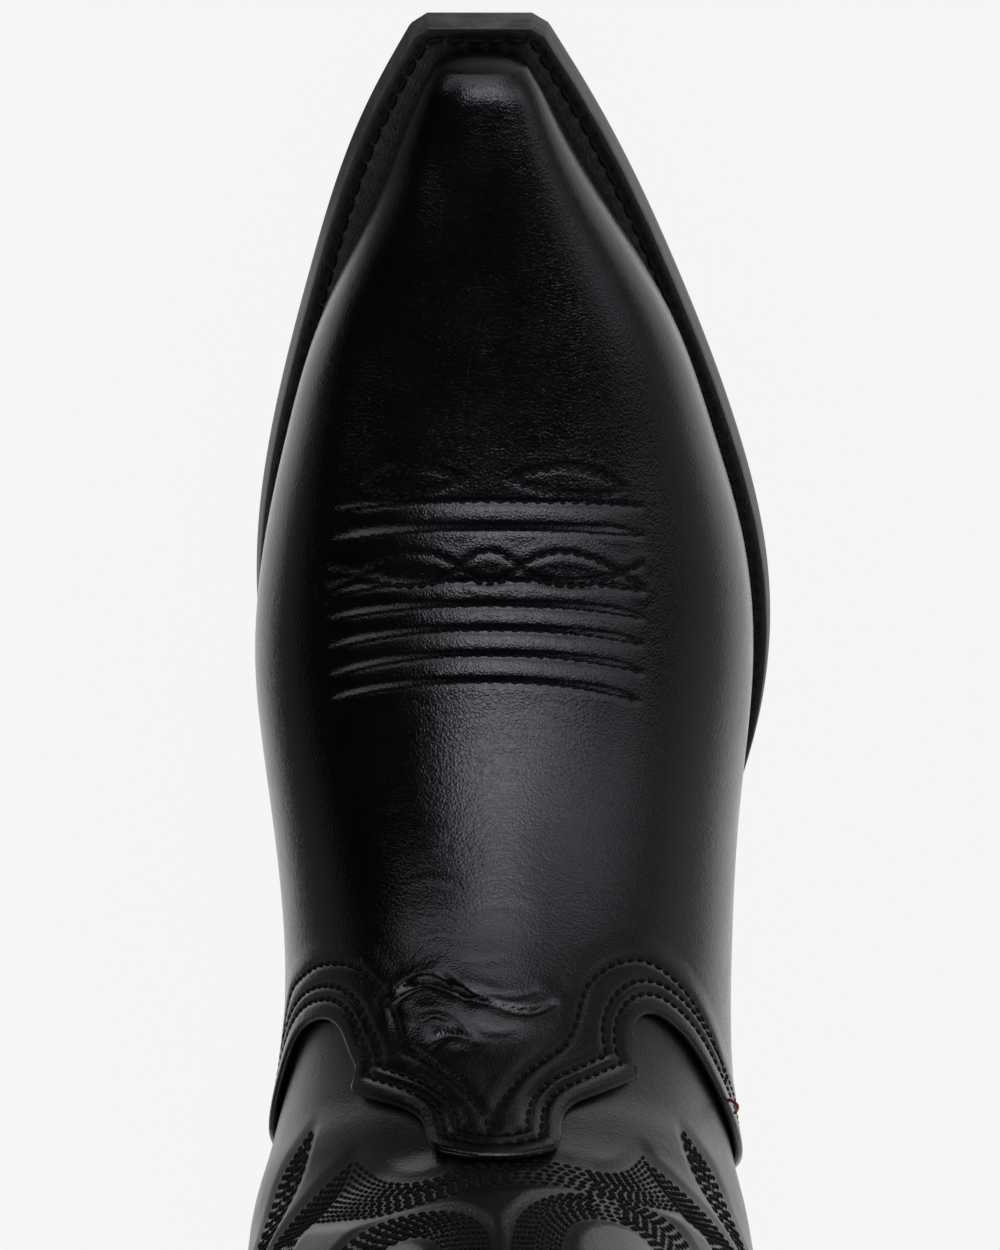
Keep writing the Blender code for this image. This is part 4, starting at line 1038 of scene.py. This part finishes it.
for label, side in (("medial", MEDIAL), ("lateral", LATERAL)):
    s = np.linspace(204, SIDE_PEAK - 6, 260)
    t = side * side_seam(s)
    cord = surface(s, t, SHAFT_DEPTH - 0.1 - shaft_folds(s, t))
    tube(f"side_welt_{label}", cord, 1.05, TRIM_LEATHER, 14, f"side_piping_{label}")
    seams = Rows()
    for offset in (-0.026, 0.026):
        seams.add(s[8:], side * (side_seam(s[8:]) + offset))
    seams.stitch(f"side_stitching_{label}", shaft_row_depth, 2.4, 0.66, 0.3, 11)

# Rise over the side peak, or over the top line, and depth along a fold of leather

STRAP_FOLD = [(-58, 0.1), (-40, -0.3), (-22, -0.4), (-3, -0.4), (5, -0.8), (10, -0.5), (14, 1.5)]
STRAP_FOLD += [(15.5, 5.3), (14, 9.2), (10, 11.2), (5, 11.4), (-3, 10.6), (-24, 9.8), (-46, 9.6)]
BINDING_FOLD = [(-4.2, 1.9), (-1.5, 1.5), (0.8, 1.8), (1.6, 3.2), (1.8, 4.7), (1.6, 6.2), (0.8, 7.6), (-1.5, 8.0)]
BINDING_FOLD += [(-4.2, 7.8)]
STRAP_HALF_WIDTH, STRAP_THICKNESS, STRAP_COLUMNS = 0.08, 1.2, 27

for label, side in (("medial", MEDIAL), ("lateral", LATERAL)):
    rise, depth = (v[:, None] for v in smooth_line(STRAP_FOLD, 150, 1))
    width = np.sin(np.linspace(-np.pi / 2, np.pi / 2, STRAP_COLUMNS)) * STRAP_HALF_WIDTH
    half = np.full((STRAP_COLUMNS, 1), STRAP_THICKNESS / 2)
    half[[0, -1]] *= 0.35
    half[[1, -2]] *= 0.8
    middle = surface(SIDE_PEAK + rise, side * 0.5 + width, depth)
    thickened(f"pull_strap_{label}_leather", middle, half, TRIM_LEATHER, f"pull_strap_{label}")
    rows = Rows()
    inner = STRAP_HALF_WIDTH - 0.017
    for edge in (-inner, inner):
        rows.add(np.linspace(SIDE_PEAK - 55, SIDE_PEAK - 6, 80), np.full(80, side * 0.5 + edge))
    cross = np.linspace(-inner, inner, 40) + side * 0.5
    for level in (-55, -52.5, -6, -8.5):
        rows.add(np.full(40, SIDE_PEAK + level), cross)
    rows.stitch(f"pull_strap_{label}_stitching", -0.95, 2.3, 0.7, 0.32, 12)

rise, depth = (v[:, None] for v in smooth_line(BINDING_FOLD, 26, 1))
t = np.linspace(0, 2, 721)[:-1]
middle = surface(top_line(t) + rise, t, depth)
thickened("top_binding_leather", middle, 0.4, TRIM_LEATHER, "top_binding", wrap=True)
Rows().add(top_line(t) - 2.6, t).stitch("top_binding_stitching", 1.15, 2.3, 0.66, 0.3, 13)


# ---------------------------------------------------------------- linings

LINING_SEAM, LINING_SPACE, LINING_CORNER = 200.0, 0.003, 0.45


def lining_depth(s, t):
    return LINING_DEPTH - 0.35 * shaft_folds(s, t)


def make_lining(node, s, t, depth):
    shell(f"{node}_leather", surface(s, t, depth), surface(s, t, depth + 0.9), LINING_LEATHER, node)


def make_linings():
    s = np.concatenate([np.linspace(9, 30, 18)[:-1], np.linspace(30, LINING_SEAM, 90)])[:, None]
    make_lining("vamp_lining", s, np.linspace(-1, 1, 141), LINING_DEPTH)
    start = LINING_SEAM + 1.4
    climb = np.linspace(0, 1, 120)[:, None]
    t = np.linspace(-0.5 + LINING_SPACE, 0.5 - LINING_SPACE, 101)
    s = start + (top_line(t) - start) * climb
    make_lining("shaft_lining_front", s, t, lining_depth(s, t))
    share = np.linspace(-1, 1, 161)
    along_feather = np.minimum(np.abs(share) / LINING_CORNER, 1)
    low_s = s_at_feather(HEEL_MIDDLE - along_feather * (HEEL_MIDDLE - feather_of(start)))
    past_corner = np.clip((np.abs(share) - LINING_CORNER) / (1 - LINING_CORNER), 0, 1)
    low_b = 0.01 + past_corner * (0.49 - LINING_SPACE)
    high_b = np.abs(share) * (0.5 - LINING_SPACE)
    s = low_s + (top_line(1 - high_b) - low_s) * climb
    t = 1 + np.sign(share) * (low_b + (high_b - low_b) * np.clip(climb * 2.5, 0, 1))
    make_lining("shaft_lining_back", s, t, lining_depth(s, wrapped(t)))


make_linings()


# ---------------------------------------------------------------- sole, welt and heel


def on_sole(plan, height):
    """Points over a plan, at a height above the outsole's underside."""
    return np.column_stack([plan, sole_z(plan[:, 1]) + height])


def sole_sides(front, back):
    """Rows of y, lateral x and medial x down the sole's sides."""
    end = min(back, HEEL_CURVE_START)
    y = np.concatenate([np.linspace(front, front + 12, 20)[:-1], np.arange(front + 12, end, 1.2), [end]])
    rows = np.stack([y, -sole_lateral(y), sole_medial(y)], -1)
    if back > HEEL_CURVE_START:
        x, y = heel_arc(np.linspace(0, np.pi / 2, 70)[1:], HEEL_SEAT_HALF, HEEL_CURVE_START, back)
        rows = np.concatenate([rows, np.stack([y, -x, x], -1)])
    return rows


def toe_sides():
    """The same for the square toe, from its middle to the flank."""
    chamfer, chamfer_left, chamfer_right = FRONT_CHAMFER
    left, right = FRONT_CORNERS
    middle = (left + right) / 2
    share = np.linspace(0, 1, 12)[:-1]
    front = [0 * share + SOLE_FRONT, middle + (left - middle) * share, middle + (right - middle) * share]
    corner = np.array([SOLE_FRONT, left, right])
    side = np.array([SOLE_FRONT + chamfer, chamfer_left, chamfer_right])
    return np.concatenate([np.stack(front, -1), corner + (side - corner) * np.linspace(0, 1, 4)[:-1, None]])


def plan_loop(back):
    """Points round the sole's plan by way of the toe, medial side first, and their inward normals."""
    rows = sole_sides(SOLE_FRONT + FRONT_CHAMFER[0], back)
    rows[0, 1:] = FRONT_CHAMFER[1:]
    rows = np.concatenate([toe_sides(), rows])
    points = np.concatenate([rows[::-1, [2, 0]], rows[1:, [1, 0]]])
    ahead = np.gradient(points, axis=0)
    ahead = (ahead + np.roll(ahead, 1, 0) + np.roll(ahead, -1, 0)) / 3
    ahead[[0, -1]] = ahead[[1, -2]]
    return points, unit(np.stack([ahead[:, 1], -ahead[:, 0]], -1))


def heel_loop(back, start):
    """Points round the heel seat from its medial front to its lateral front, and their inward normals."""
    flank = np.linspace(start, HEEL_CURVE_START, 30)[:-1]
    x, y = heel_arc(np.linspace(0, np.pi / 2, 60), HEEL_SEAT_HALF, HEEL_CURVE_START, back)
    y = np.concatenate([flank, y])
    medial = np.stack([np.concatenate([sole_medial(flank), x]), y], -1)
    lateral = np.stack([np.concatenate([-sole_lateral(flank), -x]), y], -1)
    points = np.concatenate([medial, lateral[-2::-1]])
    ahead = np.gradient(points, axis=0)
    return points, unit(np.stack([-ahead[:, 1], ahead[:, 0]], -1))


def resample(points, inward, spacing):
    """Evenly spaced points and normals, and how far along the loop they are."""
    run = run_length(points)
    at = np.linspace(0, run[-1], int(run[-1] / spacing))
    return points_at(at, run, points), unit(points_at(at, run, inward)), at


def turn_outwards(obj, sharp_angle):
    """Turns the faces of a closed piece outwards and marks its sharp edges."""
    cage = bmesh.new()
    cage.from_mesh(obj.data)
    bmesh.ops.remove_doubles(cage, verts=cage.verts, dist=0.002 * MM)
    bmesh.ops.recalc_face_normals(cage, faces=cage.faces)
    cage.to_mesh(obj.data)
    cage.free()
    obj.data.set_sharp_from_angle(angle=math.radians(sharp_angle))
    return obj


def strip_cap(n, base):
    """Faces that close a ring of n points by strips from side to side."""
    pairs = [(i, n - 1 - i) for i in range(n // 2) if n - 1 - 2 * i > 1]
    return [[base + k for k in dict.fromkeys((i, j, j - 1, i + 1))] for i, j in pairs]


def stack(name, rings, material, node, turn=1):
    """A solid from rings of points, closed at both ends. A turn of -1 reverses the faces of the top."""
    n, top = len(rings[0]), (len(rings) - 1) * len(rings[0])
    faces = grid_faces(len(rings), n, True) + strip_cap(n, 0) + [face[::turn] for face in strip_cap(n, top)]
    return turn_outwards(new_object(name, np.concatenate(rings), faces, material, node), 35)


def make_outsole():
    loop, inward = plan_loop(SOLE_BACK)
    profile = [(7.5, 0), (6.6, 0), (6.2, 0.3), (5.8, 0), (3, 0), (1.0, 0.05), (0.35, 0.25), (0.05, 0.7), (0, 1.3)]
    profile += [(0.1, 2.6), (0.25, 4.0), (0.4, 4.9), (0.5, 5.15), (1.0, 5.25), (3, 5.2), (9, 5.1)]
    rings = [on_sole(loop + inward * inset, height) for inset, height in profile]
    outsole = stack("outsole_leather", rings, SOLE_LEATHER, "outsole", -1)
    outsole.data.materials.append(SOLE_BOTTOM)
    edge_faces = len(loop) * (len(profile) - 1)
    for face in outsole.data.polygons:
        under = face.index < 5 * len(loop) or edge_faces <= face.index < edge_faces + len(loop) // 2
        if under and face.normal.z < -0.5:
            face.material_index = 1


def rim(name, loop, inward, sections, node):
    """A strip along an open loop. Its closed cross-section is a list of (inset, height)."""
    insets = [np.broadcast_to(inset, len(loop))[:, None] for inset, _ in sections]
    points = [on_sole(loop + inward * inset, height) for inset, (_, height) in zip(insets, sections)]
    n, k = len(loop), len(sections)
    faces = grid_faces(n, k, True)
    faces += [list(range(k)), list(range(n * k - 1, (n - 1) * k - 1, -1))]
    return turn_outwards(new_object(name, np.stack(points, 1), faces, WELT_LEATHER, node), 50)


def make_welt():
    loop, inward, run = resample(*plan_loop(WELT_END), 0.45)
    groove = 0.16 + 0.3 * (0.5 + 0.5 * np.cos(run * 2 * np.pi / WELT_PITCH)) ** 3
    inner = welt_width(loop[:, 1]) + WELT_TUCK
    low, high, line = WELT_BOTTOM, WELT_TOP, STITCH_INSET
    sections = [
        (1.4, low - 0.05), (0.6, low - 0.03), (0.45, low + 0.1), (0.6, low + 1.2), (0.95, high - 0.3),
        (1.15, high - 0.05), (1.6, high + 0.06), (line - 1.4, high + 0.08), (line - 0.7, high - groove * 0.5),
        (line, high - groove), (line + 0.7, high - groove * 0.5), (line + 1.4, high + 0.08),
        (inner - 3.4, high + 0.05), (inner, high), (inner, low),
    ]
    welt = rim("welt_strip", loop, inward, sections, "welt")
    # Its outer faces have the dressed edge that the outsole has.
    welt.data.materials.append(SOLE_LEATHER)
    for face in welt.data.polygons:
        if face.index < (len(loop) - 1) * len(sections) and face.index % len(sections) < 5:
            face.material_index = 1
    row = on_sole(loop + inward * STITCH_INSET, WELT_TOP) + (0, 0, 0.12)
    length = run_length(row)
    count = int(length[-1] / WELT_PITCH)
    at = (np.arange(count) + 0.5) * length[-1] / count
    ahead = points_at(at + 0.5, length, row) - points_at(at - 0.5, length, row)
    normals = np.cross(np.stack([-ahead[:, 1], ahead[:, 0], 0 * at], -1), ahead)
    normals = unit(normals * np.sign(normals[:, 2:]))
    bead_mesh("welt_stitching", points_at(at, length, row), ahead, normals, 3.6, 1.15, 0.55, 14)


def make_rand():
    loop, inward, _ = resample(*heel_loop(SOLE_BACK - 0.2, WELT_END + 0.1), 0.5)
    inner = np.minimum(welt_width(loop[:, 1]) + WELT_TUCK, 6.6)
    low, high = WELT_BOTTOM, WELT_TOP
    sections = [
        (0.9, low - 0.05), (0.35, low), (0.1, low + 0.3), (0.05, low + 1.5), (0.1, high - 0.5),
        (0.45, high - 0.1), (1.1, high + 0.05), (inner, high), (inner, low),
    ]
    rim("heel_rand_strip", loop, inward, sections, "heel_rand")


def heel_plan(z):
    """Plan points of the heel stack at height z, from the medial breast round the back."""
    share = z / sole_z(SOLE_BACK)
    breast = HEEL_BOTTOM_BREAST + (BREAST - HEEL_BOTTOM_BREAST) * share
    back = HEEL_BOTTOM_BACK + (SOLE_BACK - 1.5 - HEEL_BOTTOM_BACK) * share**1.25
    half = HEEL_BOTTOM_HALF_WIDTH + (HEEL_TOP_HALF_WIDTH - HEEL_BOTTOM_HALF_WIDTH) * share
    start = breast + HEEL_FLANK * (back - breast)
    x, y = heel_arc(np.linspace(0, np.pi / 2, 60), half, start, back)
    flank = np.linspace(0, 1, 14)[:-1]
    medial_x = np.concatenate([half - 0.6 + 0.6 * np.minimum(flank * 8, 1), x])
    medial = np.column_stack([medial_x, np.concatenate([breast + (start - breast) * flank, y])])
    return np.concatenate([medial, medial[-2::-1] * (-1, 1)])


def make_lift(number, low, high, follow_sole=False):
    """A lift with eased edges. Where it follows the sole, its top is curved."""
    rings = []
    for z, inset in zip((low, low + 0.12, low + 0.4, high - 0.4, high - 0.12, high), (0.45, 0.15, 0, 0, 0.15, 0.45)):
        plan = heel_plan(z)
        plan = plan - unit(plan - (0, plan[:, 1].mean())) * inset
        height = np.full(len(plan), z)
        if follow_sole:
            height = low + (z - low) / (high - low) * (sole_z(plan[:, 1]) + 0.05 - low)
        rings.append(np.column_stack([plan, height]))
    stack(f"heel_stack_{number}", rings, HEEL_LEATHER, f"heel_lift_{number}")


def make_heel():
    low = CAP_THICKNESS + GAP
    for number in range(1, 5):
        make_lift(number, low - 0.1, low + (LIFT_THICKNESS + 0.1))
        low += LIFT_THICKNESS + GAP
    make_lift(5, low - 0.1, float(sole_z(BREAST)), True)


make_outsole()
make_welt()
make_rand()
make_heel()

for node, material in {
    "heel_cap": RUBBER, "insole": INSOLE_LEATHER, "sock_lining": LINING_LEATHER, "shank": STEEL,
    "cork_filler": CORK, "toe_puff": STIFF_BOARD, "heel_stiffener": STIFF_BOARD,
    **{f"heel_nail_{number}": STEEL for number in range(1, 6)},
}.items():
    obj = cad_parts[node]
    obj.data.materials.clear()
    obj.data.materials.append(material)

# The loose end of thread by the lateral side of the vamp
end, n = surface(187.5, -0.525), normal_at(187.5, -0.525)
share = np.linspace(0, 1, 14)[:, None]
curl = end + n * (0.4 + 1.1 * np.sin(np.pi * share)) + np.array([-0.3, 0.4, 1.0]) * (share - 0.3) * 3.2
tube("thread_end", curl, 0.32, THREAD_END, 8)


# ---------------------------------------------------------------- floor, light and camera


def add_floor():
    """White paper. What it gives back to the boot falls off outside the lit patch, most on the +X side."""
    mesh = bpy.data.meshes.new("floor")
    corners = [(x * FLOOR_REACH, y * FLOOR_REACH, FLOOR_Z) for x, y in ((-1, -1), (1, -1), (1, 1), (-1, 1))]
    mesh.from_pydata(corners, [], [(0, 1, 2, 3)])
    floor = bpy.data.objects.new("floor", mesh)
    bpy.context.scene.collection.objects.link(floor)
    tree = Tree("pale_floor")
    given = 1.0
    for axes, most in (
        ([("X", 0.09, 0.14)], 0.85),
        ([("X", -0.1, -0.17)], 0.6),
        ([("Y", -0.125, -0.19)], 0.58),
        ([("X", -0.03, 0.03), ("Y", -0.095, -0.125)], 0.92),
    ):
        dimmed = most
        for axis, start, end in axes:
            dimmed = tree.math("MULTIPLY", tree.step(tree.axis(axis), start, end), dimmed)
        given = tree.math("MULTIPLY", given, tree.math("SUBTRACT", 1.0, dimmed))
    seen = tree.node("LightPath", "Is Camera Ray")
    strength = tree.math("MULTIPLY", tree.math("MAXIMUM", seen, given), PAPER_WHITE)
    tree.finish(
        gray(0.02), 1.0, Specular_IOR_Level=0.0, Emission_Color=(1, 1, 1, 1), Emission_Strength=strength
    )
    mesh.materials.append(tree.owner)


# Soft boxes in the room: lowest and highest azimuth from -Y towards +X, the same for elevation, strength and
# the softness of the edges. Angles are in degrees.
BOXES = [
    (-14, 14, 38, 53, 4.3, 3),
    (-44, -14, 38, 53, 2.2, 3),
    (-14, 16, 18, 38, 1.75, 5),
    (-46, -14, 18, 38, 0.9, 5),
    (-72, -40, 14, 38, 0.8, 7),
    (-70, -15, -8, 18, 0.3, 7),
    (-15, 44, -8, 18, 1.15, 7),
    (-140, -70, -8, 18, 0.3, 8),
    (-150, -102, 26, 60, 1.1, 8),
    (92, 150, 26, 62, 1.2, 8),
]
BACK_BOX = (150, 181, 6, 46, 0.8, 10)
ROOM_GLOW = 0.012
WINDOW_COLOR = (0.965, 0.975, 1.09, 1)
PAPER_WHITE = 0.905
FLOOR_REACH = 4.0
# A hair below the sole, so that the two faces don't coincide
FLOOR_Z = -0.0002
SENSOR_HEIGHT, LENS = 36, 148.3
CAMERA_TILT, CAMERA_PLACE = math.radians(67), Vector((0.0006, -0.4309, 0.9605))


def add_world():
    tree = Tree("studio", "worlds", "Generated")
    forward = tree.math("MULTIPLY", tree.axis("Y"), -1.0)
    azimuth = tree.math("DEGREES", tree.math("ARCTAN2", tree.axis("X"), forward))
    elevation = tree.math("DEGREES", tree.math("ARCSINE", tree.axis("Z")))
    turned = tree.math("ABSOLUTE", azimuth)

    def between(angle, low, high, soft):
        ends = tree.step(angle, low - soft, low + soft), tree.step(angle, high + soft, high - soft)
        return tree.math("MULTIPLY", *ends)

    total = ROOM_GLOW
    for where, (low, high, down, up, strength, soft) in [(azimuth, box) for box in BOXES] + [(turned, BACK_BOX)]:
        inside = tree.math("MULTIPLY", between(where, low, high, soft), between(elevation, down, up, soft))
        total = tree.math("ADD", total, tree.math("MULTIPLY", inside, strength))
    seen = tree.node("LightPath", "Is Camera Ray")
    away = tree.math("MULTIPLY", total, tree.math("SUBTRACT", 1.0, seen))
    sockets = tree.nodes["Background"].inputs
    tree.set(sockets["Strength"], tree.math("ADD", away, tree.math("MULTIPLY", seen, PAPER_WHITE)))
    tree.set(sockets["Color"], tree.mix(seen, WINDOW_COLOR, (1, 1, 1, 1)))
    bpy.context.scene.world = tree.owner


def add_camera():
    data = bpy.data.cameras.new("camera")
    data.sensor_fit, data.sensor_height, data.lens = "VERTICAL", SENSOR_HEIGHT, LENS
    data.clip_start, data.clip_end = 0.01, 50
    camera = bpy.data.objects.new("camera", data)
    right = Vector((-1, 0, 0))
    up = Vector((0, -math.sin(CAMERA_TILT), -math.cos(CAMERA_TILT)))
    turn = Matrix((right, up, right.cross(up))).transposed().to_4x4()
    camera.matrix_world = Matrix.Translation(CAMERA_PLACE) @ turn
    bpy.context.scene.collection.objects.link(camera)
    bpy.context.scene.camera = camera


add_floor()
add_world()
add_camera()
bpy.context.scene.view_settings.view_transform = "Standard"
